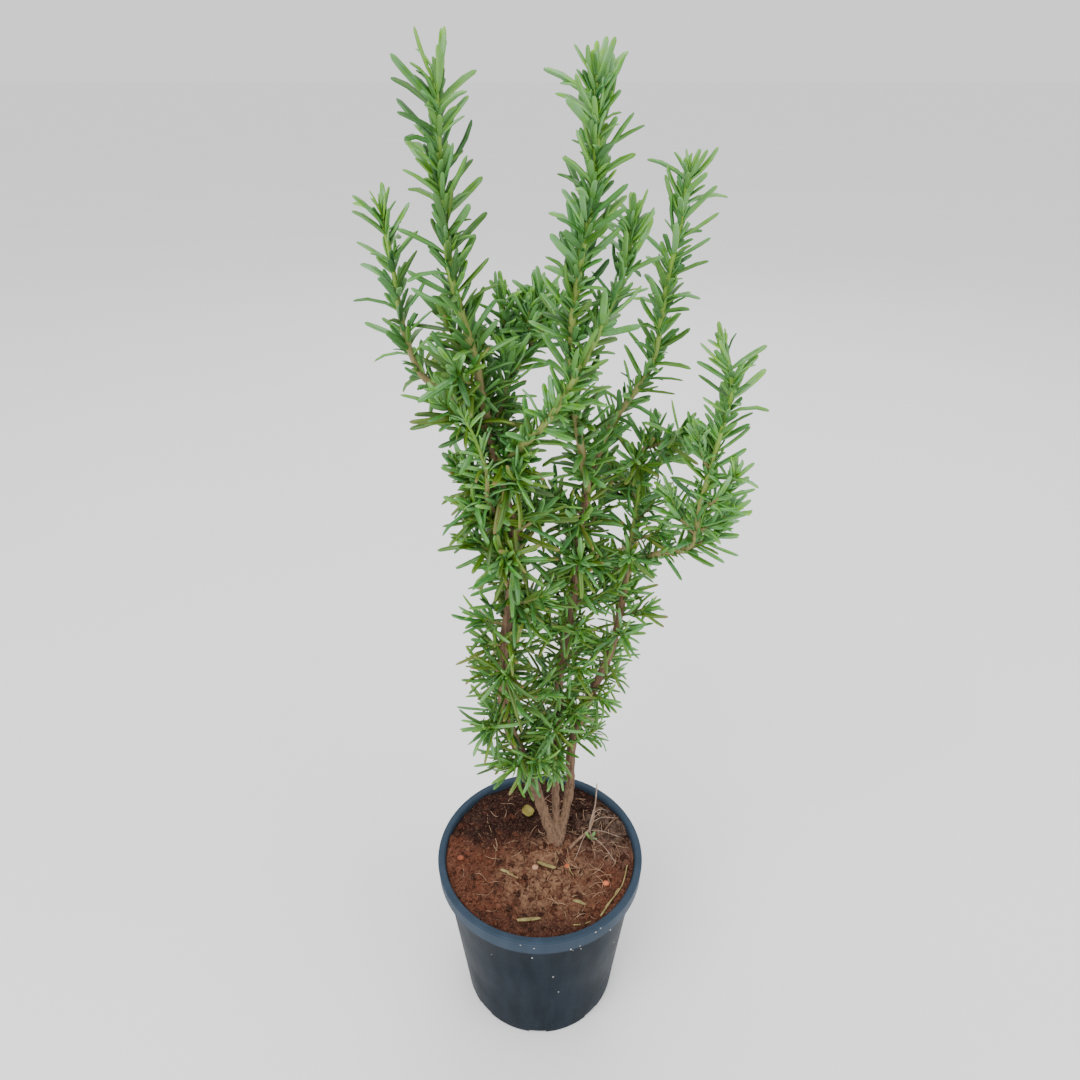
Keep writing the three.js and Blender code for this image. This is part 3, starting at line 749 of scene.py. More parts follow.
@dataclass
class Limb:
    """A stem or shoot: a smooth route through given points, with a radius that tapers along it."""

    route: Route
    root_radius: float
    tip_radius: float
    places: list[Vector] = field(default_factory=list)
    reached: list[float] = field(default_factory=list)

    STEPS = 20
    TAPER = 1.5
    # Half the length over which a direction is read, and the last ring's share of its radius.
    REACH, END = 0.0015, 0.55
    # The scale of a rod's lumps, and how far apart its sides lie in their noise.
    LUMP_SCALE, LUMP_ROUND = 260, 0.004

    def __post_init__(self) -> None:
        """Samples the centripetal curve through the route's points."""
        knots = [Vector(point) for point in self.route]
        knots = [2 * knots[0] - knots[1], *knots, 2 * knots[-1] - knots[-2]]
        for number in range(1, len(knots) - 2):
            four = knots[number - 1 : number + 3]
            self.places.extend(self.between(four, step / self.STEPS) for step in range(self.STEPS))
        self.places.append(knots[-2])
        self.reached = [0.0]
        for first, second in zip(self.places, self.places[1:]):
            self.reached.append(self.reached[-1] + (second - first).length)

    @staticmethod
    def between(four: list[Vector], share: float) -> Vector:
        """Finds a place on the centripetal curve between the middle two of four points.

        Args:
            four: Four points in order.
            share: How far from the second to the third, 0 to 1.

        Returns:
            The place.
        """
        first, second, third, last = four
        before, gap, after = (max((b - a).length ** 0.5, TINY) for a, b in zip(four, four[1:]))
        leave = (second - first) / before - (third - first) / (before + gap) + (third - second) / gap
        arrive = (third - second) / gap - (last - second) / (gap + after) + (last - third) / after
        leave, arrive = leave * gap, arrive * gap
        square, cube = share * share, share * share * share
        return (
            second * (2 * cube - 3 * square + 1)
            + leave * (cube - 2 * square + share)
            + third * (3 * square - 2 * cube)
            + arrive * (cube - square)
        )

    @property
    def length(self) -> float:
        """The route's length."""
        return self.reached[-1]

    def point(self, along: float) -> Vector:
        """Gives the place at a length from the root.

        Args:
            along: The length, which is kept within the limb's.

        Returns:
            The place.
        """
        along = min(max(along, 0.0), self.length)
        low, high = 0, len(self.reached) - 2
        while low < high:
            middle = (low + high + 1) // 2
            low, high = (middle, high) if self.reached[middle] <= along else (low, middle - 1)
        span = max(self.reached[low + 1] - self.reached[low], TINY)
        return self.places[low].lerp(self.places[low + 1], (along - self.reached[low]) / span)

    def direction(self, along: float) -> Vector:
        """Gives the way the limb points at a length from the root."""
        return (self.point(along + self.REACH) - self.point(along - self.REACH)).normalized()

    def radius(self, along: float) -> float:
        """Gives the radius at a length from the root."""
        return lerp(self.root_radius, self.tip_radius, min(max(along / self.length, 0.0), 1.0) ** self.TAPER)

    def leaning(self, along: float, around: float, lean: float) -> Vector:
        """Finds a direction that leans away from the limb.

        Args:
            along: Length from the root.
            around: Angle round the limb, in radians.
            lean: Angle from the limb's own direction, in radians.

        Returns:
            The unit direction.
        """
        forward = self.direction(along)
        across = (Vector((0, 1, 0)) - forward * forward.y).normalized()
        out = across * math.cos(around) + across.cross(forward) * math.sin(around)
        return forward * math.cos(lean) + out * math.sin(lean)

    def sweep(
        self, shape: bmesh.types.BMesh, sides: int, spacing: float, knots: float, wood: "WoodRun",
        start: float = 0.0, end: float | None = None,
    ) -> None:
        """Adds the limb to a bmesh as a closed rod.

        Args:
            shape: The bmesh that it goes into.
            sides: Sides of the rod.
            spacing: Length between its rings.
            knots: How uneven it is, as a share of its radius.
            wood: How woody it is along its length.
            start: Where it starts along the limb.
            end: Where it ends, if not at the limb's own end.
        """
        end = self.length if end is None else end
        rod = bmesh.new()
        layer = rod.verts.layers.float.new("wood")
        count = max(3, round((end - start) / spacing) + 1)
        rings = extrude_rings(rod, sides, count)
        before = self.direction(start)
        frame_turn = Vector((0, 0, 1)).rotation_difference(before)
        for number, ring in enumerate(rings):
            along = lerp(start, end, number / (count - 1))
            now = self.direction(along)
            frame_turn = before.rotation_difference(now) @ frame_turn
            before = now
            centre = self.point(along)
            radius = self.radius(along) * (self.END if number == count - 1 else 1.0)
            for side, vert in enumerate(ring):
                turn = math.tau * side / sides
                offset = frame_turn @ Vector((math.cos(turn), math.sin(turn), 0.0))
                lump = 1 + knots * noise.noise((centre + offset * self.LUMP_ROUND) * self.LUMP_SCALE)
                vert.co = centre + offset * radius * lump
                vert[layer] = wood.at(along)
        bmesh.ops.recalc_face_normals(rod, faces=rod.faces)
        absorb(shape, rod)


@dataclass(frozen=True)
class WoodRun:
    """How woody a limb is along its length, from 1 for old bark to 0 for a tender tip."""

    root: float
    tip: float
    change_start: float
    change_end: float

    def at(self, along: float) -> float:
        """Gives the woodiness at a length from the root."""
        return lerp(self.root, self.tip, smoothstep(self.change_start, self.change_end, along))


DRY_RUN = WoodRun(0.4, 0.4, 0.0, 1.0)


# ---- Needles -------------------------------------------------------------------------------


@dataclass(frozen=True)
class NeedleShape:
    """One shape of needle, at the size that most of them are: its curl, twist and blunt tip."""

    curl: float
    twist: float
    blunt: float

    LENGTH = 0.022
    WIDTH = 0.0031
    THICKNESS = 0.0022
    # Round the blade from its left margin: across, in widths, and up, in thicknesses.
    SECTION = (
        (-0.5, -0.12), (-0.36, 0.36), (0.0, 0.14), (0.36, 0.36),
        (0.5, -0.12), (0.3, -0.32), (0.0, -0.14), (-0.3, -0.32),
    )
    # The same at the tip, where the ridges and the groove run out into an oval.
    TIP_SECTION = (
        (-0.5, 0.0), (-0.35, 0.28), (0.0, 0.4), (0.35, 0.28),
        (0.5, 0.0), (0.35, -0.28), (0.0, -0.4), (-0.35, -0.28),
    )
    # Along the blade: the share of its length, of its width and of its section's change to the tip's.
    STATIONS = (
        (0.0, 0.42, 0.4), (0.1, 0.72, 0.1), (0.32, 0.97, 0.0),
        (0.7, 1.0, 0.0), (0.93, 0.8, 0.5), (1.0, 0.36, 1.0),
    )
    SEAM = 0.8

    def build(self) -> bpy.types.Mesh:
        """Makes the needle as a mesh that points along +Y with its top at +Z.

        Returns:
            The mesh, with a UV map round and along the blade.
        """
        shape = bmesh.new()
        sides = len(self.SECTION)
        rings = extrude_rings(shape, sides, len(self.STATIONS))
        blade = shape.loops.layers.uv.new("blade")
        spot = {}
        for (share, width, oval), ring in zip(self.STATIONS, rings):
            if share == 1.0:
                width *= self.blunt
            angle = self.curl * share
            bent = Vector((0.0, math.sin(angle) / self.curl, (math.cos(angle) - 1) / self.curl))
            centre = bent * self.LENGTH
            turn = Matrix.Rotation(-angle, 3, "X") @ Matrix.Rotation(self.twist * share, 3, "Y")
            for side, vert in enumerate(ring):
                across = lerp(self.SECTION[side][0], self.TIP_SECTION[side][0], oval) * width
                up = lerp(self.SECTION[side][1], self.TIP_SECTION[side][1], oval) * width
                vert.co = centre + turn @ Vector((across * self.WIDTH, 0.0, up * self.THICKNESS))
                spot[vert] = (side / sides, share)
        for face in shape.faces:
            wraps = any(spot[vert][0] > self.SEAM for vert in face.verts) and len(face.verts) == 4
            for loop in face.loops:
                across, along = spot[loop.vert]
                loop[blade].uv = (1.0 if wraps and across == 0.0 else across, along)
        bmesh.ops.recalc_face_normals(shape, faces=shape.faces)
        for face in shape.faces:
            face.smooth = len(face.verts) == 4
        mesh = bpy.data.meshes.new("needle_shape")
        shape.to_mesh(mesh)
        shape.free()
        return mesh


@dataclass(frozen=True)
class Foliage:
    """How needles grow on one kind of limb, from its first needles to its last.

    Lean and loose are in degrees, and tone and age are shares, as in NeedleBank.plant.
    """

    spacing: float
    lean: tuple[float, float]
    length: tuple[float, float]
    extra: int
    loose: float
    tone: tuple[float, float]
    age: tuple[float, float]
    droop: float = 0.0
    width: float = 1.0
    bare_front: float = 0.0


class Habit(Enum):
    """The kinds of growth on the plant."""

    WOODY = Foliage(
        spacing=0.0040, lean=(90, 62), length=(0.018, 0.020), extra=4, loose=30, tone=(0.2, 1.0),
        age=(0.42, 0.93), droop=0.5, bare_front=0.65,
    )
    GREEN = Foliage(
        spacing=0.0040, lean=(60, 42), length=(0.017, 0.019), extra=5, loose=7, tone=(0.2, 0.95),
        age=(0.28, 0.7), bare_front=0.4,
    )
    SHOOT = Foliage(
        spacing=0.0027, lean=(64, 38), length=(0.020, 0.016), extra=3, loose=26, tone=(0.2, 1.0),
        age=(0.3, 0.91), droop=0.3, width=0.95,
    )
    # The tufts' light tone is partly their own young green and partly painted light, which lifts the tufts
    # that stand in shade.
    TUFT = Foliage(
        spacing=0.0028, lean=(50, 30), length=(0.019, 0.016), extra=2, loose=10, tone=(0.7, 1.0),
        age=(0.2, 0.5), width=0.92,
    )
    TENDER = Foliage(
        spacing=0.0045, lean=(62, 42), length=(0.016, 0.014), extra=2, loose=12, tone=(0.7, 1.0),
        age=(0.15, 0.4), width=0.8,
    )


class NeedleBank:
    """The needle shapes, and the way they are planted into a mesh."""

    SHAPES = tuple(
        NeedleShape(*shape)
        for shape in (
            (0.16, 0.1, 1.0), (0.42, -0.2, 0.9), (-0.3, 0.25, 1.1), (0.75, 0.1, 1.0),
            (-0.12, -0.3, 0.8), (0.3, 0.5, 1.1), (-0.55, 0.0, 1.0), (1.05, -0.4, 0.9),
        )
    )
    MOST_THICKENING = 1.1

    def __init__(self) -> None:
        """Builds each shape once, ready to be planted."""
        self.meshes = []
        for needle in self.SHAPES:
            mesh = needle.build()
            for name in ("tone", "age"):
                mesh.attributes.new(name, "FLOAT", "POINT")
            flat = [0.0] * (3 * len(mesh.vertices))
            mesh.vertices.foreach_get("co", flat)
            self.meshes.append((mesh, flat))

    def plant(
        self, shape: bmesh.types.BMesh, kind: int, root: Vector, way: Vector, top: Vector, length: float,
        width: float, tone: float, age: float,
    ) -> None:
        """Adds one needle to a bmesh.

        Args:
            shape: The bmesh that it goes into.
            kind: Which of the shapes.
            root: Where it grows from.
            way: The unit direction in which it grows.
            top: The direction that its upper face looks to.
            length: Its length.
            width: Its width as a share of the usual one.
            tone: Its shade of green, from 0, deep, to 1, light.
            age: Its age, from 0, just opened, to 1, dry.
        """
        mesh, flat = self.meshes[kind % len(self.meshes)]
        upper = (top - way * top.dot(way)).normalized()
        across = way.cross(upper)
        size = length / NeedleShape.LENGTH
        thick = min(size, self.MOST_THICKENING)
        turn = Matrix((across * width, way * size, upper * thick)).transposed().to_4x4()
        mesh.vertices.foreach_set("co", flat)
        mesh.transform(Matrix.Translation(root) @ turn)
        for name, value in (("tone", tone), ("age", age)):
            mesh.attributes[name].data.foreach_set("value", [value] * len(mesh.vertices))
        shape.from_mesh(mesh)

    def clear(self) -> None:
        """Removes the shapes once all needles are planted."""
        for mesh, _ in self.meshes:
            bpy.data.meshes.remove(mesh)


@dataclass
class Foliator:
    """Clothes limbs in needles, all into one bmesh. The needles low on the plant are slender."""

    bank: NeedleBank
    dice: random.Random
    shape: bmesh.types.BMesh
    size: float
    fullness: float
    open_front: float
    painted_light_shift: float

    FRONT = -0.25
    SEAT = 0.6
    TURN = 0.7
    UNEVEN = (0.82, 1.12)
    SHORT, LONG, SHORT_WIDTH = 0.006, 0.018, 0.72
    SLENDER, FULL_WIDTH = 0.66, 0.94
    SLENDER_BELOW, FULL_ABOVE = 0.25, 0.38
    AGE_BIAS = 1.3
    # How far a pair stands from its own place: round the limb, and along it.
    PAIR_TURN, PAIR_SHIFT = 0.14, 0.0008
    # The short needles in the axils: spread round the limb, rise, size, lean and freshness.
    AXIL_TURN, AXIL_RISE, AXIL_SIZE, AXIL_LEAN, AXIL_FRESH = 0.5, 0.001, (0.38, 0.68), (0.45, 0.95), 0.15
    FRESH_RUN, FRESH = (0.55, 1.1), 0.6
    CROSS_TURN = 0.12
    SPACING = (0.8, 1.2)
    # The closed tuft: its height, the lean of its first and last needle, and its freshness.
    TIP_HEIGHT, TIP_LEAN, TIP_FRESH = 0.003, (40, 6), 0.7

    def needle(
        self, limb: Limb, along: float, around: float, lean: float, length: float, foliage: Foliage,
        fresh: float = 0.0,
    ) -> None:
        """Plants one needle on a limb.

        Args:
            limb: The limb.
            along: Where along it.
            around: Where round it, in radians.
            lean: Its angle from the limb, in degrees.
            length: Its length.
            foliage: The growth that it is part of.
            fresh: How much younger it is than the growth's own, 0 to 1.
        """
        dice = self.dice
        way = limb.leaning(along, around, math.radians(lean))
        way = (way + Vector((0, 0, -1)) * foliage.droop * dice.random()).normalized()
        if way.y < self.FRONT and dice.random() < foliage.bare_front * self.open_front:
            return
        forward = limb.direction(along)
        root = limb.point(along) + (way - forward * way.dot(forward)) * limb.radius(along) * self.SEAT
        top = forward + any_way(dice) * self.TURN
        length *= dice.uniform(*self.UNEVEN) * self.size
        high = smoothstep(self.SLENDER_BELOW, self.FULL_ABOVE, root.z)
        grown = smoothstep(self.SHORT, self.LONG, length)
        width = foliage.width * dice.uniform(*self.UNEVEN) * lerp(self.SHORT_WIDTH, 1.0, grown)
        width *= lerp(self.SLENDER, self.FULL_WIDTH, high)
        # The stem's shift of tone is painted light and shade.
        tone = dice.uniform(*foliage.tone) + self.painted_light_shift
        age = dice.uniform(*foliage.age) ** self.AGE_BIAS * (1 - fresh)
        kind = dice.randrange(len(self.bank.SHAPES))
        self.bank.plant(self.shape, kind, root, way, top, length, width, tone, age)

    def clothe(
        self, limb: Limb, foliage: Foliage, start: float, end: float, tip: int = 0, tip_length: float = 0.0
    ) -> None:
        """Plants crossed pairs of needles, with short ones in their axils, along a limb.

        Args:
            limb: The limb.
            foliage: How they grow.
            start: Where they start along the limb.
            end: Where they end.
            tip: Needles in the closed tuft at the end.
            tip_length: The length of those.
        """
        dice = self.dice
        along, turn = start, dice.uniform(0, math.tau)
        while along < end:
            share = (along - start) / max(end - start, TINY)
            lean, length = lerp(*foliage.lean, share), lerp(*foliage.length, share)
            fresh = smoothstep(*self.FRESH_RUN, share) * self.FRESH if tip else 0.0
            for side in (0.0, math.pi):
                around = turn + side + dice.gauss(0, self.PAIR_TURN)
                height = along + dice.gauss(0, self.PAIR_SHIFT)
                pair_lean = lean + dice.gauss(0, foliage.loose)
                self.needle(limb, height, around, pair_lean, length, foliage, fresh)
            for number in range(foliage.extra):
                around = turn + math.pi * (number % 2) + dice.gauss(0, self.AXIL_TURN)
                small = length * dice.uniform(*self.AXIL_SIZE)
                axil_lean = lean * dice.uniform(*self.AXIL_LEAN)
                young = fresh * 0.5 + self.AXIL_FRESH
                self.needle(limb, along + self.AXIL_RISE, around, axil_lean, small, foliage, young)
            turn += math.pi / 2 + dice.gauss(0, self.CROSS_TURN)
            along += foliage.spacing * dice.uniform(*self.SPACING) / self.fullness
        for number in range(tip):
            share = number / max(tip - 1, 1)
            around, length = number * GOLDEN_ANGLE, tip_length * lerp(1.0, 0.5, share)
            height = limb.length - self.TIP_HEIGHT + self.TIP_HEIGHT * share
            self.needle(limb, height, around, lerp(*self.TIP_LEAN, share), length, foliage, self.TIP_FRESH)


# ---- The plant -----------------------------------------------------------------------------


@dataclass(frozen=True)
class SideShoots:
    """The short shoots along a main stem. Their places follow the frame's rule.

    Those whose numbers are in missing are left out. Fillers are smaller shoots in between.
    """

    count: int
    first: float
    last: float
    first_turn: float
    fillers: int = 0
    missing: tuple[int, ...] = ()

    LEAN = (72, 52)
    REACH = (0.018, 0.026)
    REACH_SPREAD, REACH_BEAT = 0.004, 2.1
    # How far out and up a shoot's middle is, as shares of its end's.
    BEND_OUT, BEND_UP = 0.55, 0.4
    FILLER_TURN, FILLER_SIZE = math.radians(70), 0.72
    RADII = (0.0011, 0.0007)

    def limbs(self, stem: Limb) -> list[Limb]:
        """Lays out the shoots on a stem.

        Args:
            stem: The stem that they grow on.

        Returns:
            One limb for each shoot, and for each of the shorter ones that fill in between.
        """
        numbers = [number for number in range(self.count) if number not in self.missing]
        made = [self.shoot(stem, number, number / (self.count - 1), 0.0, 1.0) for number in numbers]
        for number in range(self.fillers):
            share = (number + 0.5) / self.fillers
            made.append(self.shoot(stem, number, share, self.FILLER_TURN, self.FILLER_SIZE))
        return made

    def shoot(self, stem: Limb, number: int, share: float, turned: float, size: float) -> Limb:
        """Lays out one shoot.

        Args:
            stem: The stem that it grows on.
            number: Its number from the bottom.
            share: How far up the leafy length it starts.
            turned: An added turn round the stem, in radians.
            size: Its size as a share of the usual one.

        Returns:
            The shoot's limb.
        """
        root = stem.point(lerp(self.first, self.last, share))
        turn = math.radians(self.first_turn) + number * GOLDEN_ANGLE + turned
        lean = math.radians(lerp(*self.LEAN, share))
        reach = (lerp(*self.REACH, share) + self.REACH_SPREAD * math.sin(self.REACH_BEAT * number)) * size
        flat, rise = reach * math.sin(lean), reach * math.cos(lean)
        out = Vector((math.cos(turn), math.sin(turn), 0.0))
        bend = root + out * self.BEND_OUT * flat + Vector((0, 0, self.BEND_UP * rise))
        end = root + out * flat + Vector((0, 0, rise))
        return Limb((tuple(root), tuple(bend), tuple(end)), *self.RADII)


@dataclass(frozen=True)
class LeafyStem:
    """One leafy stem or spray: its rod with side shoots, and its needles."""

    name: str
    route: Route
    root_radius: float
    tip_radius: float
    seed: int
    buried: float = 0.0
    woody_to: float = 0.0
    leafless: float = 0.006
    shoots: SideShoots | None = None
    needle_size: float = 1.0
    fullness: float = 1.0
    leafy_from: float = 0.0
    open_front: float = 1.0
    # Painted light and shade: a shift of the needles' tone, darker on the shaded left stem and lighter on the
    # lit centre and right stems.
    painted_light_shift: float = 0.0
    woodiness: float = 0.42
    tip_length: float = 0.015
    tufts: tuple[Route, ...] = ()
    strays: tuple[Route, ...] = ()
    habit: Habit = Habit.GREEN
    slot: str = "leaf"

    TUFT_RADII = (0.0012, 0.0007)
    # Shares of a stem, or of its woody run, where the wood starts and stops turning green.
    WOODY_LEAST, WOODY_START, WOODY_END = 0.25, 0.6, 0.92
    # How woody a short shoot is at its root and at its tip.
    SHOOT_WOOD = (0.4, 0.05)
    # Where needles stop short of the end of a stem, and the count of needles in its closed tuft.
    STEM_END, STEM_TIP = 0.004, 7
    # Where needles start and stop on a short shoot, and the length of those in its closed tuft.
    SHOOT_START, SHOOT_END, SHOOT_TIP_LENGTH = 0.004, 0.002, 0.013

    def build(self, bank: NeedleBank) -> None:
        """Builds the rod and the needles as two pieces.

        Args:
            bank: The needle shapes.
        """
        stem = Limb(self.route, self.root_radius, self.tip_radius)
        small = self.shoots.limbs(stem) if self.shoots else []
        small += [Limb(route, *SideShoots.RADII) for route in self.strays]
        tufts = [Limb(route, *self.TUFT_RADII) for route in self.tufts]
        self.build_rod(stem, small, tufts)
        dice = random.Random(self.seed)
        leaves = self.foliator(bank, dice)
        start = max(self.buried, self.leafless)
        if self.woody_to:
            leaves.clothe(stem, Habit.WOODY.value, self.leafy_from, self.woody_to)
            start = self.woody_to
        end = stem.length - self.STEM_END
        leaves.clothe(stem, self.habit.value, start, end, self.STEM_TIP, self.tip_length)
        self.clothe_shoots(leaves, tufts, Habit.TUFT, 6)
        settle(to_object(f"{self.name}_needles", leaves.shape, NEEDLE_GREEN, None), self.slot, self.name)
        if small:
            leaves = self.foliator(bank, dice)
            self.clothe_shoots(leaves, small, Habit.SHOOT, 3)
            name = f"{self.name}_shoot_needles"
            settle(to_object(name, leaves.shape, NEEDLE_GREEN, None), self.slot, self.name)

    def clothe_shoots(self, leaves: Foliator, limbs: list[Limb], habit: Habit, tip: int) -> None:
        """Clothes short shoots or tufted twigs in needles.

        Args:
            leaves: What plants the needles.
            limbs: The shoots.
            habit: How their needles grow.
            tip: Needles in each closed tuft.
        """
        for limb in limbs:
            end = limb.length - self.SHOOT_END
            leaves.clothe(limb, habit.value, self.SHOOT_START, end, tip, self.SHOOT_TIP_LENGTH)

    def foliator(self, bank: NeedleBank, dice: random.Random) -> Foliator:
        """Readies a new bmesh for this stem's needles."""
        return Foliator(
            bank, dice, bmesh.new(), self.needle_size, self.fullness, self.open_front, self.painted_light_shift
        )

    def build_rod(self, stem: Limb, small: list[Limb], tufts: list[Limb]) -> None:
        """Builds the stem and its shoots as one piece of closed rods.

        Args:
            stem: The stem itself.
            small: Its side shoots.
            tufts: Its tufted twigs.
        """
        shape = bmesh.new()
        woody = self.woody_to > 0
        change = max(self.woody_to, stem.length * self.WOODY_LEAST) * self.WOODY_START
        run = WoodRun(1.0 if woody else self.woodiness, 0.0, change, stem.length * self.WOODY_END)
        stem.sweep(shape, sides=9, spacing=0.004, knots=0.22, wood=run, start=self.buried)
        for limb in (*small, *tufts):
            run = WoodRun(*self.SHOOT_WOOD, 0.0, limb.length)
            limb.sweep(shape, sides=5, spacing=0.005, knots=0.1, wood=run)
        bmesh.ops.recalc_face_normals(shape, faces=shape.faces)
        settle(to_object(f"{self.name}_rod", shape, STEM_SKIN), "bark", self.name)


MAIN_STEMS = (
    LeafyStem(
        "left_stem",
        (
            (0.0112, 0.0038, 0.112), (0.001, 0.013, 0.143), (-0.008, 0.009, 0.183), (-0.018, 0.005, 0.218),
            (-0.021, 0.001, 0.263), (-0.017, 0.000, 0.298), (-0.012, -0.003, 0.345), (-0.016, -0.005, 0.371),
            (-0.024, -0.008, 0.415), (-0.028, -0.009, 0.442), (-0.036, -0.010, 0.476),
            (-0.038, -0.011, 0.508), (-0.038, -0.012, 0.548),
        ),
        root_radius=0.0038, tip_radius=0.0009, seed=11, buried=0.051, woody_to=0.319, leafy_from=0.078,
        shoots=SideShoots(count=19, first=0.073, last=0.335, first_turn=175, fillers=14, missing=(17,)),
        needle_size=1.18, fullness=1.1, open_front=0.6, tip_length=0.019, painted_light_shift=-0.13,
        strays=(
            ((-0.0125, -0.003, 0.338), (-0.024, -0.006, 0.344), (-0.034, -0.009, 0.354)),
            ((-0.014, -0.004, 0.356), (-0.024, -0.010, 0.362), (-0.033, -0.014, 0.371)),
            ((-0.016, -0.005, 0.371), (-0.027, -0.004, 0.377), (-0.036, -0.003, 0.388)),
        ),
    ),
    LeafyStem(
        "centre_stem",
        (
            (0.011, 0.003, 0.112), (0.010, 0.020, 0.145), (0.011, 0.024, 0.200), (0.012, 0.023, 0.248),
            (0.018, 0.019, 0.291), (0.020, 0.016, 0.330), (0.024, 0.015, 0.366), (0.034, 0.020, 0.398),
            (0.053, 0.026, 0.428), (0.058, 0.029, 0.464), (0.062, 0.030, 0.490), (0.064, 0.030, 0.512),
        ),
        root_radius=0.0028, tip_radius=0.0009, seed=12, buried=0.059, woody_to=0.266, leafy_from=0.068,
        shoots=SideShoots(count=12, first=0.085, last=0.247, first_turn=115, fillers=12),
        fullness=1.05, open_front=0.4, painted_light_shift=0.08,
        strays=(
            ((0.010, 0.021, 0.182), (0.010, 0.013, 0.190), (0.009, 0.006, 0.188), (0.008, 0.001, 0.181)),
            ((0.010, 0.022, 0.192), (0.003, 0.014, 0.198), (-0.003, 0.008, 0.194), (-0.006, 0.004, 0.186)),
        ),
    ),
    LeafyStem(
        "right_stem",
        (
            (0.011, 0.0024, 0.112), (0.019, 0.024, 0.145), (0.020, 0.028, 0.181), (0.030, 0.030, 0.218),
            (0.040, 0.029, 0.249), (0.045, 0.027, 0.280), (0.048, 0.025, 0.319), (0.051, 0.027, 0.354),
            (0.053, 0.031, 0.380), (0.057, 0.033, 0.394),
        ),
        root_radius=0.0033, tip_radius=0.0009, seed=13, buried=0.059, woody_to=0.228, leafy_from=0.086,
        shoots=SideShoots(count=11, first=0.079, last=0.283, first_turn=20, fillers=10),
        needle_size=0.95, painted_light_shift=0.14,
        tufts=(((0.052, 0.030, 0.371), (0.063, 0.032, 0.377), (0.075, 0.033, 0.385)),),
    ),
)
SPRAYS = (
    LeafyStem(
        "left_low_spray",
        (
            (-0.024, -0.007, 0.415), (-0.042, 0.000, 0.424), (-0.053, 0.004, 0.430), (-0.060, 0.007, 0.448),
            (-0.063, 0.009, 0.475), (-0.066, 0.010, 0.498),
        ),
        root_radius=0.0018, tip_radius=0.0008, seed=14, needle_size=1.08, fullness=0.75,
    ),
    LeafyStem(
        "front_spray",
        (
            (0.024, 0.015, 0.366), (0.020, 0.002, 0.392), (0.015, -0.010, 0.424), (0.013, -0.021, 0.458),
            (0.016, -0.028, 0.490), (0.020, -0.032, 0.520), (0.019, -0.035, 0.549),
        ),
        root_radius=0.0020, tip_radius=0.0009, seed=15, needle_size=1.1, fullness=1.35, woodiness=0.3,
    ),
    LeafyStem(
        "crossing_spray",
        (
            (-0.020, -0.007, 0.392), (-0.009, -0.019, 0.405), (0.004, -0.027, 0.422), (0.016, -0.028, 0.443),
            (0.027, -0.020, 0.463), (0.035, -0.012, 0.483), (0.037, -0.008, 0.500),
        ),
        root_radius=0.0017, tip_radius=0.0008, seed=16, needle_size=0.92, woodiness=0.2, open_front=0.5,
    ),
    LeafyStem(
        "middle_twig",
        (
            (-0.021, -0.007, 0.402), (-0.017, 0.004, 0.420), (-0.008, 0.013, 0.435), (0.003, 0.017, 0.446),
            (0.006, 0.016, 0.460),
        ),
        root_radius=0.0014, tip_radius=0.0007, seed=17, leafless=0.034, habit=Habit.TUFT,
        tufts=(
            ((-0.015, 0.007, 0.424), (-0.016, 0.010, 0.444), (-0.016, 0.008, 0.464)),
            ((-0.007, 0.013, 0.436), (-0.010, 0.012, 0.449), (-0.010, 0.010, 0.459)),
            ((0.000, 0.016, 0.443), (0.000, 0.013, 0.456), (0.000, 0.012, 0.464)),
            ((-0.004, 0.015, 0.440), (-0.005, 0.010, 0.450), (-0.005, 0.007, 0.461)),
            ((-0.019, 0.000, 0.412), (-0.015, 0.002, 0.429), (-0.014, 0.001, 0.443)),
        ),
    ),
    LeafyStem(
        "right_spray",
        (
            (0.048, 0.025, 0.319), (0.062, 0.016, 0.329), (0.076, 0.004, 0.341), (0.078, -0.001, 0.368),
            (0.082, -0.004, 0.400), (0.085, -0.006, 0.428), (0.080, -0.006, 0.446),
        ),
        root_radius=0.0018, tip_radius=0.0008, seed=18, needle_size=0.92, fullness=1.15, woodiness=0.3,
        tufts=(
            ((0.078, -0.001, 0.364), (0.086, -0.004, 0.373), (0.092, -0.006, 0.386)),
            ((0.074, 0.006, 0.338), (0.084, 0.005, 0.343), (0.091, 0.003, 0.350)),
            ((0.077, 0.002, 0.350), (0.087, -0.001, 0.357), (0.093, -0.003, 0.365)),
            ((0.077, 0.001, 0.350), (0.069, 0.003, 0.358), (0.064, 0.004, 0.370)),
            ((0.080, -0.003, 0.386), (0.076, -0.002, 0.394), (0.073, -0.002, 0.404)),
        ),
    ),
    LeafyStem(
        "young_shoot",
        (
            (-0.014, -0.004, 0.358), (-0.024, -0.013, 0.374), (-0.024, -0.018, 0.392),
            (-0.028, -0.020, 0.408), (-0.033, -0.020, 0.420),
        ),
        root_radius=0.0012, tip_radius=0.0007, seed=19, habit=Habit.TENDER, slot="young_leaf",
    ),
)


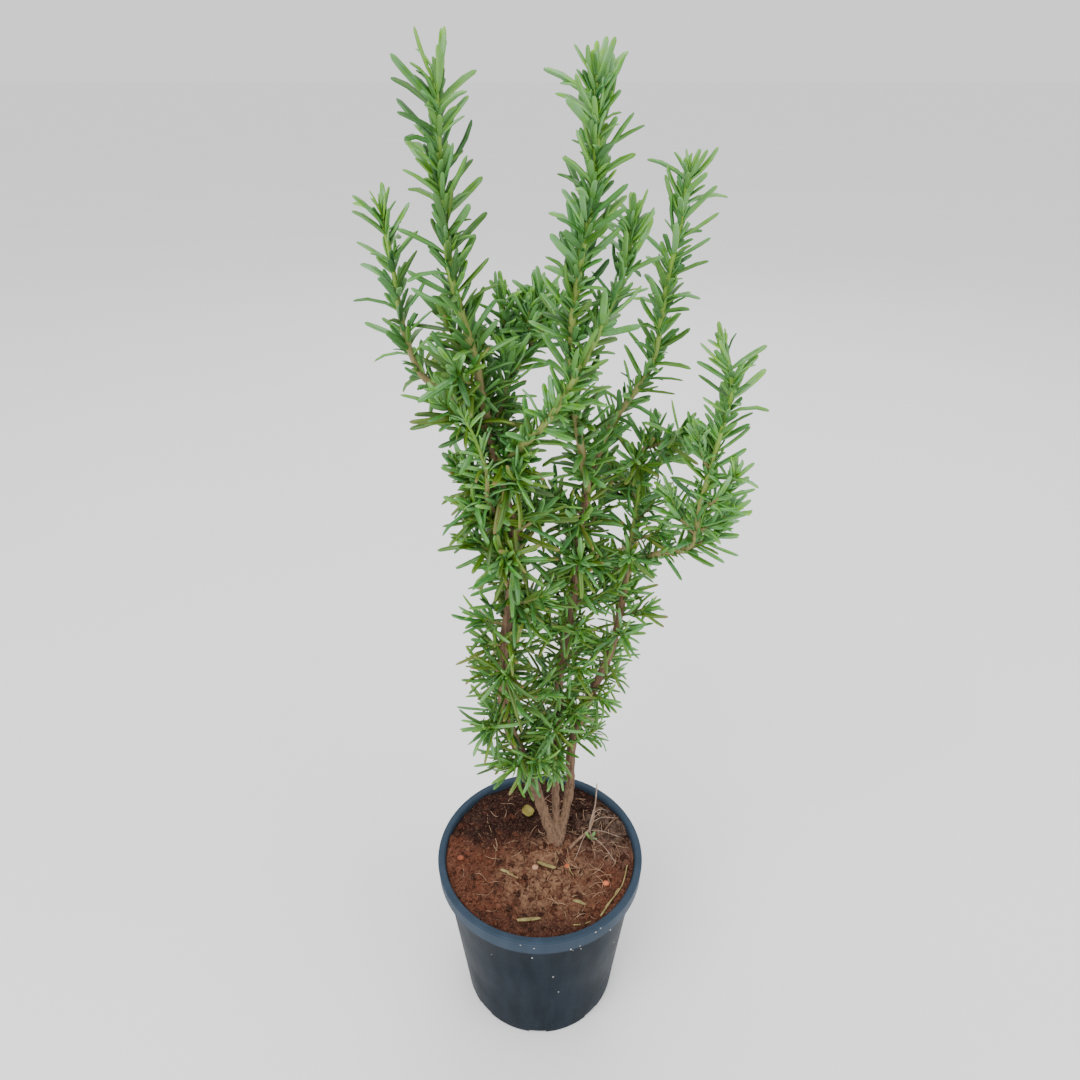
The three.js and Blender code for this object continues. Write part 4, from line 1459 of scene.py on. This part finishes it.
@dataclass(frozen=True)
class WoodyBase:
    """The short fibrous trunk and the three bare stems that fork from it."""

    split: tuple[float, float, float] = (0.055, 0.063, 0.063)
    trunk: Route = (
        (0.0110, 0.0040, 0.089), (0.0110, 0.0040, 0.109), (0.0110, 0.0042, 0.115), (0.0109, 0.0046, 0.120),
    )
    trunk_length: float = 0.031
    trunk_radii: tuple[float, float] = (0.0047, 0.0030)
    slim: float = 0.88
    ridge: float = 0.0005
    voxel: float = 0.0005

    # The ridges' noise: its scale across the wood, and along it.
    RIDGE_SCALE, RIDGE_RUN = 900, 130

    def build(self) -> None:
        """Builds the fork, melts its rods together and ridges its bark."""
        shape = bmesh.new()
        run = WoodRun(1.0, 1.0, 0.0, 1.0)
        trunk = Limb(self.trunk, *self.trunk_radii)
        trunk.sweep(shape, sides=14, spacing=0.003, knots=0.3, wood=run, end=self.trunk_length)
        for stem, end in zip(MAIN_STEMS, self.split):
            limb = Limb(stem.route, stem.root_radius * self.slim, stem.tip_radius)
            limb.sweep(shape, sides=12, spacing=0.003, knots=0.25, wood=run, end=end)
        bmesh.ops.recalc_face_normals(shape, faces=shape.faces)
        piece = to_object("woody_base", shape, STEM_SKIN)
        apply_modifier(piece, "REMESH", mode="VOXEL", voxel_size=self.voxel)
        self.ridge_bark(piece.data)
        settle(piece, "bark", "woody_foot")

    def ridge_bark(self, mesh: bpy.types.Mesh) -> None:
        """Raises stringy ridges that run up the wood.

        Args:
            mesh: The melted fork.
        """
        wood = mesh.attributes.get("wood") or mesh.attributes.new("wood", "FLOAT", "POINT")
        wood.data.foreach_set("value", [1.0] * len(mesh.vertices))
        for vert in mesh.vertices:
            across, along = self.RIDGE_SCALE, self.RIDGE_RUN
            spot = Vector((vert.co.x * across, vert.co.y * across, vert.co.z * along))
            vert.co += vert.normal * self.ridge * noise.fractal(spot, 1.0, 2.0, 4)
        for face in mesh.polygons:
            face.use_smooth = True


# ---- The pot and the soil ------------------------------------------------------------------


@dataclass(frozen=True)
class NurseryPot:
    """The thin moulded pot, with a turned-down lip, a foot ring with notches, and drain holes."""

    height: float = 0.118
    rim_radius: float = 0.065
    body_top_radius: float = 0.0618
    base_radius: float = 0.050
    inner_top: float = 0.0604
    inner_base: float = 0.0485
    lip_height: float = 0.011
    notch_count: int = 8
    notch_width: float = 0.011
    notch_height: float = 0.0028
    notch_first: float = math.radians(-92)
    drain_radius: float = 0.0035
    drain_circle: float = 0.033
    steps: int = 128
    # Angle in degrees, height and size of each speck of grit.
    grit: tuple[tuple[float, float, float], ...] = (
        (-60, 0.1155, 0.0008), (-93, 0.1130, 0.0006), (-74, 0.1085, 0.0007), (-94.5, 0.0960, 0.0008),
        (-82, 0.0728, 0.0007), (-78, 0.0529, 0.0006), (-57, 0.1165, 0.0006), (-50, 0.1082, 0.0007),
        (-100, 0.1148, 0.0005), (-71, 0.0990, 0.0005), (-66, 0.0975, 0.0006), (-69, 0.1090, 0.0005),
        (-120, 0.0860, 0.0004), (-35, 0.0710, 0.0005), (12, 0.0930, 0.0006), (47, 0.1100, 0.0005),
        (101, 0.0640, 0.0006), (148, 0.1120, 0.0006), (171, 0.0480, 0.0005), (-148, 0.0970, 0.0006),
    )

    def inner_radius(self, height: float) -> float:
        """Gives the radius of the inner wall at a height."""
        return lerp(self.inner_base, self.inner_top, height / self.height)

    def build(self) -> None:
        """Builds the pot as one piece, and the grit stuck to it as another."""
        top, rim, lip = self.height, self.rim_radius, self.height - self.lip_height
        outline = [
            # The underside and the foot ring.
            (0.0, 0.0, 0), (0.020, 0.0, 0.0005), (0.022, 0.003, 0.0008), (0.043, 0.003, 0.0008),
            (0.0445, 0.0, 0.0004), (0.049, 0.0, 0.0004), (self.base_radius, 0.001, 0.0006),
            # The outer wall.
            (0.0503, 0.004, 0), (0.0506, 0.008, 0), (self.body_top_radius, top - 0.0015, 0.0005),
            # The lip, from its inside round its lower edge to its top.
            (rim - 0.0014, top - 0.0015, 0.0005), (rim - 0.0018, lip, 0.0002), (rim - 0.0005, lip, 0.0004),
            (rim - 0.0002, top - 0.0022, 0.0004), (rim, top - 0.0016, 0.0006),
            (rim - 0.0006, top - 0.0001, 0.0007), (rim - 0.0016, top, 0.0004), (0.0612, top, 0.0006),
            # The inner wall and the floor.
            (self.inner_radius(top - 0.0012), top - 0.0012, 0.0006),
            (self.inner_radius(0.0045), 0.0045, 0.0012), (0.0224, 0.0045, 0.0006),
            (0.0204, 0.0015, 0.0004), (0.0, 0.0015, 0),
        ]
        piece = to_object("nursery_pot", spin_profile(rounded(outline), self.steps), POT_PLASTIC)
        cutters = to_object("cutters", self.openings(), POT_PLASTIC, smooth=False)
        apply_modifier(piece, "BOOLEAN", operation="DIFFERENCE", solver="EXACT", object=cutters)
        bpy.data.objects.remove(cutters)
        settle(piece, "pot", "pot")
        self.build_grit()

    def build_grit(self) -> None:
        """Sticks a few pale specks of grit to the outside of the pot."""
        shape = bmesh.new()
        for number, (degrees, height, size) in enumerate(self.grit):
            turn = math.radians(degrees)
            body = lerp(self.base_radius, self.body_top_radius, height / self.height)
            far = self.rim_radius - 0.0002 if height > self.height - self.lip_height else body
            place = Matrix.Translation((far * math.cos(turn), far * math.sin(turn), height))
            tall = 0.7 + 0.1 * (number % 4)
            place = place @ Matrix.Rotation(turn, 4, "Z") @ Matrix.Diagonal((0.4, 1.0, tall, 1))
            bmesh.ops.create_icosphere(shape, subdivisions=2, radius=size * 0.8, matrix=place)
        settle(to_object("pot_grit", shape, PALE_GRIT), "pot")

    def openings(self) -> bmesh.types.BMesh:
        """Makes the cutters for the foot ring's notches and the drain holes.

        Returns:
            Their bmesh.
        """
        shape, radius = bmesh.new(), self.drain_radius
        for number in range(self.notch_count):
            turn = Matrix.Rotation(self.notch_first + number * math.tau / self.notch_count, 4, "Z")
            notch = turn @ Matrix.Translation((self.base_radius - 0.002, 0, self.notch_height - 0.003))
            notch = notch @ Matrix.Diagonal((0.015, self.notch_width, 0.006, 1))
            bmesh.ops.create_cube(shape, size=1.0, matrix=notch)
            drain = turn @ Matrix.Translation((self.drain_circle, 0, 0.003))
            bmesh.ops.create_cone(
                shape, cap_ends=True, segments=24, radius1=radius, radius2=radius, depth=0.012, matrix=drain
            )
        return shape


@dataclass(frozen=True)
class PottingSoil:
    """The soil: its uneven top, the crumbs that lie loose on it and its coir fibres."""

    pot: NurseryPot
    bottom: float = 0.00485
    level: float = 0.115
    edge_height: float = 0.1145
    edge_gap: float = 0.0003
    edge_drop: float = 0.0005
    stem_place: tuple[float, float] = (0.011, 0.004)
    crumbs: int = 1500
    lumps: int = 260
    fibres: int = 150
    seed: int = 77

    # The top's swells and ripples, and its mound round the stems and their spread, in millimetres.
    SWELL, RIPPLE, MOUND, MOUND_SPREAD = 0.9, 0.5, 2.2, 220
    EDGE_RUN = (44, 60)
    # Fine unevenness: the scale of each noise, and its height in millimetres or its part of the tone.
    CLODS = ((160, 1.0), (400, 0.6))
    TONES = ((170, 0.55), (420, 0.45))
    RINGS, STEPS, SHOULDER = 64, 168, 0.006
    GRAIN, GRAIN_SCALE = 0.0005, 900
    CRUMB_SIZE, LUMP_SIZE = (0.0004, 0.0010), (0.0010, 0.0022)
    TONE_SPREAD = 0.28
    ROUGH = 0.2
    FIBRE_LENGTH, FIBRE_RADIUS = (0.005, 0.016), (0.00012, 0.0003)

    def edge_radius(self) -> float:
        """Gives the radius of the soil's top."""
        return self.pot.inner_radius(self.edge_height) - self.edge_gap

    def top(self, x: float, y: float) -> float:
        """Gives the height of the soil at a place.

        Args:
            x: Place across.
            y: Place in depth.

        Returns:
            The height.
        """
        mm = (x * 1000, y * 1000)
        far = math.hypot(*mm)
        to_stem = (mm[0] - self.stem_place[0] * 1000) ** 2 + (mm[1] - self.stem_place[1] * 1000) ** 2
        height = self.SWELL * math.sin(mm[0] / 11 + 0.6) * math.cos(mm[1] / 9 - 0.4)
        height += self.RIPPLE * math.sin((mm[0] + 2 * mm[1]) / 7)
        mound = self.MOUND * math.exp(-to_stem / self.MOUND_SPREAD)
        height += mound - self.edge_drop * 1000 * smoothstep(*self.EDGE_RUN, far)
        spot = Vector((x, y, 0.3))
        height += sum(size * noise.noise(spot * scale) for scale, size in self.CLODS)
        return self.level + height / 1000

    def tone(self, x: float, y: float) -> float:
        """Gives the shade of the clod at a place, from 0, dark, to 1, light."""
        spot = Vector((x, y, 0.7))
        return sum((size * noise.noise(spot * scale) for scale, size in self.TONES), 0.5)

    def build(self) -> None:
        """Builds the soil's body, its crumbs and its fibres."""
        self.build_body()
        self.build_crumbs()
        self.build_fibres()

    def build_body(self) -> None:
        """Builds the closed body of soil with its uneven top."""
        edge = self.edge_radius()
        low = self.pot.inner_radius(self.bottom) - self.edge_gap
        profile = [(edge * number / self.RINGS, self.level) for number in range(self.RINGS + 1)]
        profile += [(edge, self.level - self.SHOULDER), (low, self.bottom), (0.0, self.bottom)]
        shape = spin_profile(profile, self.STEPS)
        layer = shape.verts.layers.float.new("tone")
        for vert in shape.verts:
            vert[layer] = self.tone(vert.co.x, vert.co.y)
            if vert.co.z > self.level - self.SHOULDER / 2:
                grain = self.GRAIN * noise.noise(vert.co * self.GRAIN_SCALE)
                vert.co.z = self.top(vert.co.x, vert.co.y) + grain
        bmesh.ops.recalc_face_normals(shape, faces=shape.faces)
        settle(to_object("potting_soil", shape, SOIL_MIX), "soil", "soil")

    def scatter(self, dice: random.Random, margin: float) -> tuple[float, float]:
        """Picks a place on the soil.

        Args:
            dice: The source of chance.
            margin: How far it stays from the edge.

        Returns:
            The place.
        """
        far = (self.edge_radius() - margin) * math.sqrt(dice.random())
        turn = dice.uniform(0, math.tau)
        return far * math.cos(turn), far * math.sin(turn)

    def build_crumbs(self) -> None:
        """Strews loose crumbs and a few larger lumps, all into one piece."""
        dice, shape = random.Random(self.seed), bmesh.new()
        for number in range(self.crumbs + self.lumps):
            lump = number >= self.crumbs
            size = dice.uniform(*(self.LUMP_SIZE if lump else self.CRUMB_SIZE))
            x, y = self.scatter(dice, size)
            tone = self.tone(x, y) + dice.gauss(0, self.TONE_SPREAD)
            place = Matrix.Translation((x, y, self.top(x, y) + size * 0.3))
            turn = Matrix.Rotation(dice.uniform(0, math.tau), 4, "Z")
            tilt = Matrix.Rotation(dice.uniform(-0.6, 0.6), 4, "X")
            stretch = (dice.uniform(0.8, 1.4), dice.uniform(0.7, 1.1), dice.uniform(0.5, 0.9), 1)
            place = place @ turn @ tilt @ Matrix.Diagonal(stretch)
            crumb = bmesh.new()
            bmesh.ops.create_icosphere(crumb, subdivisions=2 if lump else 1, radius=size, matrix=place)
            layer = crumb.verts.layers.float.new("tone")
            for vert in crumb.verts:
                vert[layer] = tone
                vert.co += any_way(dice) * size * self.ROUGH
            absorb(shape, crumb)
        settle(to_object("soil_crumbs", shape, SOIL_MIX, smooth=False), "soil", "soil")

    def build_fibres(self) -> None:
        """Lays thin curved fibres over the soil, more of them at the right."""
        dice, shape = random.Random(self.seed + 1), bmesh.new()
        for _ in range(self.fibres):
            x, y = self.scatter(dice, 0.008)
            if x < 0 and dice.random() < 0.5:
                x = -x
            turn = dice.uniform(0, math.tau)
            length, bend = dice.uniform(*self.FIBRE_LENGTH), dice.gauss(0, 0.5)
            points = []
            for step in range(4):
                reach = length * (step / 3 - 0.5)
                px = x + reach * math.cos(turn + bend * step / 3)
                py = y + reach * math.sin(turn + bend * step / 3)
                far = math.hypot(px, py)
                keep = min(1.0, (self.edge_radius() - 0.001) / max(far, TINY))
                px, py = px * keep, py * keep
                points.append((px, py, self.top(px, py) + 0.0004 + 0.0012 * dice.random() * (step % 2)))
            thick = dice.uniform(*self.FIBRE_RADIUS)
            limb = Limb(tuple(points), thick, thick * 0.6)
            limb.sweep(shape, sides=4, spacing=0.002, knots=0.0, wood=DRY_RUN)
        bmesh.ops.recalc_face_normals(shape, faces=shape.faces)
        settle(to_object("soil_fibres", shape, COIR_FIBRE), "soil", "soil")


@dataclass(frozen=True)
class SoilLitter:
    """What lies on the soil: dead needles, straws, grains, a yellow leaf, a twig and a dry stalk."""

    soil: PottingSoil
    # Place, turn in degrees and length of each dead needle.
    needles: tuple[tuple[float, float, float, float], ...] = (
        (-0.018, -0.016, -21, 0.015), (0.004, -0.011, -32, 0.014),
        (0.0295, -0.037, -10, 0.020), (-0.007, -0.048, 0, 0.015),
    )
    grains: tuple[tuple[float, float, float], ...] = (
        (-0.0505, -0.005, 0.0019), (0.017, -0.011, 0.0015), (0.0405, -0.024, 0.0018),
    )
    leaf: tuple[float, float] = (-0.008, 0.0305)
    leaf_size: tuple[float, float] = (0.0082, 0.0068)
    twig: tuple[tuple[float, float], ...] = (
        (0.019, 0.000), (0.024, 0.0065), (0.0305, 0.0135), (0.0345, 0.0215), (0.0365, 0.029),
    )
    straws: tuple[tuple[tuple[float, float], ...], ...] = (
        ((0.055, -0.010), (0.050, -0.026), (0.039, -0.040)),
        ((0.0195, -0.052), (0.025, -0.0515), (0.030, -0.049)),
        ((0.036, -0.045), (0.039, -0.041), (0.044, -0.034)),
        ((0.0455, -0.031), (0.0475, -0.0285), (0.0495, -0.027)),
        ((0.018, -0.0105), (0.019, -0.0145), (0.021, -0.018)),
    )
    lump: tuple[float, float, float] = (-0.003, -0.013, 0.0018)
    weed: tuple[float, float] = (0.033, 0.0105)
    weed_leaves: int = 6
    stalk: Route = (
        (0.034, 0.009, 0.114), (0.032, 0.010, 0.127), (0.035, 0.013, 0.143), (0.036, 0.016, 0.160),
    )
    strands: tuple[Route, ...] = (
        ((0.033, 0.010, 0.131), (0.040, 0.016, 0.129), (0.047, 0.021, 0.123), (0.052, 0.026, 0.117)),
        ((0.033, 0.010, 0.124), (0.041, 0.009, 0.124), (0.047, 0.009, 0.121), (0.053, 0.010, 0.117)),
        ((0.034, 0.012, 0.137), (0.038, 0.018, 0.134), (0.043, 0.025, 0.126), (0.046, 0.031, 0.116)),
        ((0.033, 0.010, 0.126), (0.028, 0.004, 0.124), (0.024, -0.004, 0.120), (0.021, -0.009, 0.116)),
        ((0.033, 0.009, 0.120), (0.039, 0.002, 0.121), (0.044, -0.004, 0.119), (0.048, -0.010, 0.116)),
        ((0.034, 0.011, 0.134), (0.039, 0.020, 0.129), (0.040, 0.028, 0.122), (0.039, 0.034, 0.116)),
    )

    UPPER_SIDE = Vector((0, 0.2, 1))
    GRAIN_STRETCH = (1.1, 0.95, 0.85, 1)
    GRAIN_KNOBS, GRAIN_SCALE = 0.22, 900
    STALK_RADII, STRAND_RADII = (0.0006, 0.0004), (0.00024, 0.00015)
    LEAF_TURN, LEAF_TILT, LEAF_THICKNESS = -0.7, 0.3, 0.0003

    def build(self, bank: NeedleBank) -> None:
        """Builds each loose thing where it lies.

        Args:
            bank: The needle shapes.
        """
        for number, (x, y, turn, length) in enumerate(self.needles, 1):
            shape, angle = bmesh.new(), math.radians(turn)
            way = Vector((math.cos(angle), math.sin(angle), 0.05)).normalized()
            root = Vector((x, y, self.soil.top(x, y) + 0.0009)) - way * length / 2
            bank.plant(shape, number, root, way, self.UPPER_SIDE, length, width=0.85, tone=0.5, age=1.0)
            piece = to_object(f"fallen_needle_{number}", shape, DEAD_NEEDLE)
            settle(piece, "dead_leaf", f"dead_needle_{number}")
        for number, grain in enumerate(self.grains, 1):
            finish = DULL_CLAY if number == 1 else ORANGE_CLAY
            settle(self.grain(f"orange_grain_{number}", finish, *grain), "clay", f"clay_grain_{number}")
        settle(self.grain("pinkish_grain", PINK_LUMP, *self.lump), "clay")
        self.build_leaf()
        self.build_twig()
        self.build_straws()
        self.build_stalk()
        self.build_weed(bank)

    def grain(self, name: str, finish: Finish, x: float, y: float, radius: float) -> bpy.types.Object:
        """Builds one knobbly grain on the soil.

        Args:
            name: The piece's name.
            finish: What it wears.
            x: Place across.
            y: Place in depth.
            radius: Its radius.

        Returns:
            The piece.
        """
        shape = bmesh.new()
        middle = Vector((x, y, self.soil.top(x, y) + radius * 0.6))
        place = Matrix.Translation(middle) @ Matrix.Diagonal(self.GRAIN_STRETCH)
        made = bmesh.ops.create_icosphere(shape, subdivisions=3, radius=radius, matrix=place)
        for vert in made["verts"]:
            out = (vert.co - middle).normalized()
            vert.co += out * radius * self.GRAIN_KNOBS * noise.noise(vert.co * self.GRAIN_SCALE)
        return to_object(name, shape, finish)

    def build_straws(self) -> None:
        """Lays the thin straws, all in one piece."""
        shape = bmesh.new()
        for number, route in enumerate(self.straws):
            thick = 0.0006 if number == 2 else 0.0004
            limb = Limb(tuple((x, y, self.soil.top(x, y) + 0.0011) for x, y in route), thick, thick * 0.7)
            limb.sweep(shape, sides=6, spacing=0.002, knots=0.15, wood=DRY_RUN)
        settle(to_object("loose_straws", shape, DEAD_NEEDLE), "dead_leaf")

    def build_stalk(self) -> None:
        """Builds the thin dry stalk that stands at the right, and its fine strands."""
        shape = bmesh.new()
        for number, route in enumerate((self.stalk, *self.strands)):
            limb = Limb(route, *(self.STRAND_RADII if number else self.STALK_RADII))
            limb.sweep(shape, sides=5, spacing=0.002, knots=0.15, wood=DRY_RUN)
        settle(to_object("dry_stalk", shape, GREY_STALK), "dead_leaf")

    def build_weed(self, bank: NeedleBank) -> None:
        """Builds the tiny green seedling at the foot of the dry stalk.

        Args:
            bank: The needle shapes.
        """
        shape = bmesh.new()
        root = Vector((*self.weed, self.soil.top(*self.weed)))
        for number in range(self.weed_leaves):
            turn, lean = number * GOLDEN_ANGLE, math.radians(28 + 10 * (number % 3))
            way = Vector((math.cos(turn) * math.sin(lean), math.sin(turn) * math.sin(lean), math.cos(lean)))
            bank.plant(shape, number, root, way, self.UPPER_SIDE, length=0.0055, width=0.5, tone=0.9, age=0.1)
        settle(to_object("seedling", shape, NEEDLE_GREEN), "young_leaf")

    def build_leaf(self) -> None:
        """Builds the small fallen leaf, cupped and with a point at each end."""
        shape = bmesh.new()
        bmesh.ops.create_grid(shape, x_segments=12, y_segments=8, size=0.5)
        centre = Vector((*self.leaf, self.soil.top(*self.leaf) + 0.0020))
        for vert in shape.verts:
            along, across = vert.co.x * 2, vert.co.y * 2
            width = max(1 - abs(along) ** 3, 0.0) ** 0.45 * 0.97 + 0.03
            lift = 0.0018 * abs(across) + 0.0008 * along * along - 0.0006
            spot = Vector((along * self.leaf_size[0] / 2, across * width * self.leaf_size[1] / 2, lift))
            tilt = Matrix.Rotation(self.LEAF_TILT, 3, "X")
            vert.co = centre + tilt @ Matrix.Rotation(self.LEAF_TURN, 3, "Z") @ spot
        bmesh.ops.solidify(shape, geom=shape.faces[:], thickness=self.LEAF_THICKNESS)
        bmesh.ops.recalc_face_normals(shape, faces=shape.faces)
        settle(to_object("yellow_leaf", shape, YELLOW_LEAF), "yellow_leaf", "fallen_leaf")

    def build_twig(self) -> None:
        """Builds the thin dry twig that lies beside the stems."""
        shape = bmesh.new()
        points = tuple((x, y, self.soil.top(x, y) + 0.0022) for x, y in self.twig)
        limb = Limb(points, 0.0010, 0.0006)
        run = WoodRun(0.8, 0.6, 0.0, limb.length)
        limb.sweep(shape, sides=8, spacing=0.002, knots=0.3, wood=run)
        bmesh.ops.recalc_face_normals(shape, faces=shape.faces)
        settle(to_object("loose_twig", shape, DRY_TWIG), "bark", "dry_twig")


# ---- The studio ----------------------------------------------------------------------------


@dataclass(frozen=True)
class Studio:
    """The pale floor, the soft lights and the camera at the photograph's angle."""

    camera_place: tuple[float, float, float] = (0.0, -0.3536, 0.5524)
    camera_pitch: float = math.radians(30.19)
    lens: float = 27.33
    sensor_width: float = 36.0
    clip_start: float = 0.01
    floor_size: float = 60.0
    world_light: float = 1.15
    look_at: tuple[float, float, float] = (0.0, 0.0, 0.3)

    # Name, place, side and power in watts of each light.
    LIGHTS = (
        ("key", (-0.9, -1.1, 1.7), 1.3, 30.0),
        ("fill", (1.4, -0.8, 1.1), 1.6, 12.0),
        ("back", (0.3, 1.4, 1.5), 1.2, 8.0),
    )

    def build(self) -> None:
        """Builds the floor, the lights, the world and the camera."""
        shape = bmesh.new()
        bmesh.ops.create_grid(shape, x_segments=4, y_segments=4, size=self.floor_size / 2)
        floor = to_object("floor", shape, PALE_FLOOR, smooth=False)
        world = bpy.data.worlds.new("soft_world")
        world.use_nodes = True
        background = world.node_tree.nodes["Background"]
        background.inputs["Color"].default_value = (1.0, 1.0, 1.0, 1.0)
        background.inputs["Strength"].default_value = self.world_light
        bpy.context.scene.world = world
        for light in self.LIGHTS:
            self.light(*light)
        data = bpy.data.cameras.new("camera")
        data.lens = self.lens
        data.sensor_width = self.sensor_width
        data.clip_start = self.clip_start
        camera = bpy.data.objects.new("camera", data)
        camera.location = self.camera_place
        camera.rotation_euler = (math.pi / 2 - self.camera_pitch, 0.0, 0.0)
        bpy.context.scene.collection.objects.link(camera)
        bpy.context.scene.camera = camera

    def light(self, name: str, place: tuple[float, float, float], size: float, power: float) -> None:
        """Adds a square soft light that looks at the plant's middle.

        Args:
            name: The light's name.
            place: Where it is.
            size: Its side.
            power: Its power in watts.
        """
        data = bpy.data.lights.new(name, "AREA")
        data.size = size
        data.energy = power
        lamp = bpy.data.objects.new(name, data)
        lamp.location = place
        way = Vector(self.look_at) - Vector(place)
        lamp.rotation_euler = way.to_track_quat("-Z", "Y").to_euler()
        bpy.context.scene.collection.objects.link(lamp)


def main() -> None:
    """Builds the studio and each sub-assembly in order."""
    logging.basicConfig(level=logging.INFO, format="%(name)s: %(message)s")
    Studio().build()
    pot = NurseryPot()
    pot.build()
    soil = PottingSoil(pot)
    soil.build()
    WoodyBase().build()
    bank = NeedleBank()
    for stem in (*MAIN_STEMS, *SPRAYS):
        stem.build(bank)
    SoilLitter(soil).build(bank)
    bank.clear()
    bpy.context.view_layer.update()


if __name__ == "__main__":
    main()
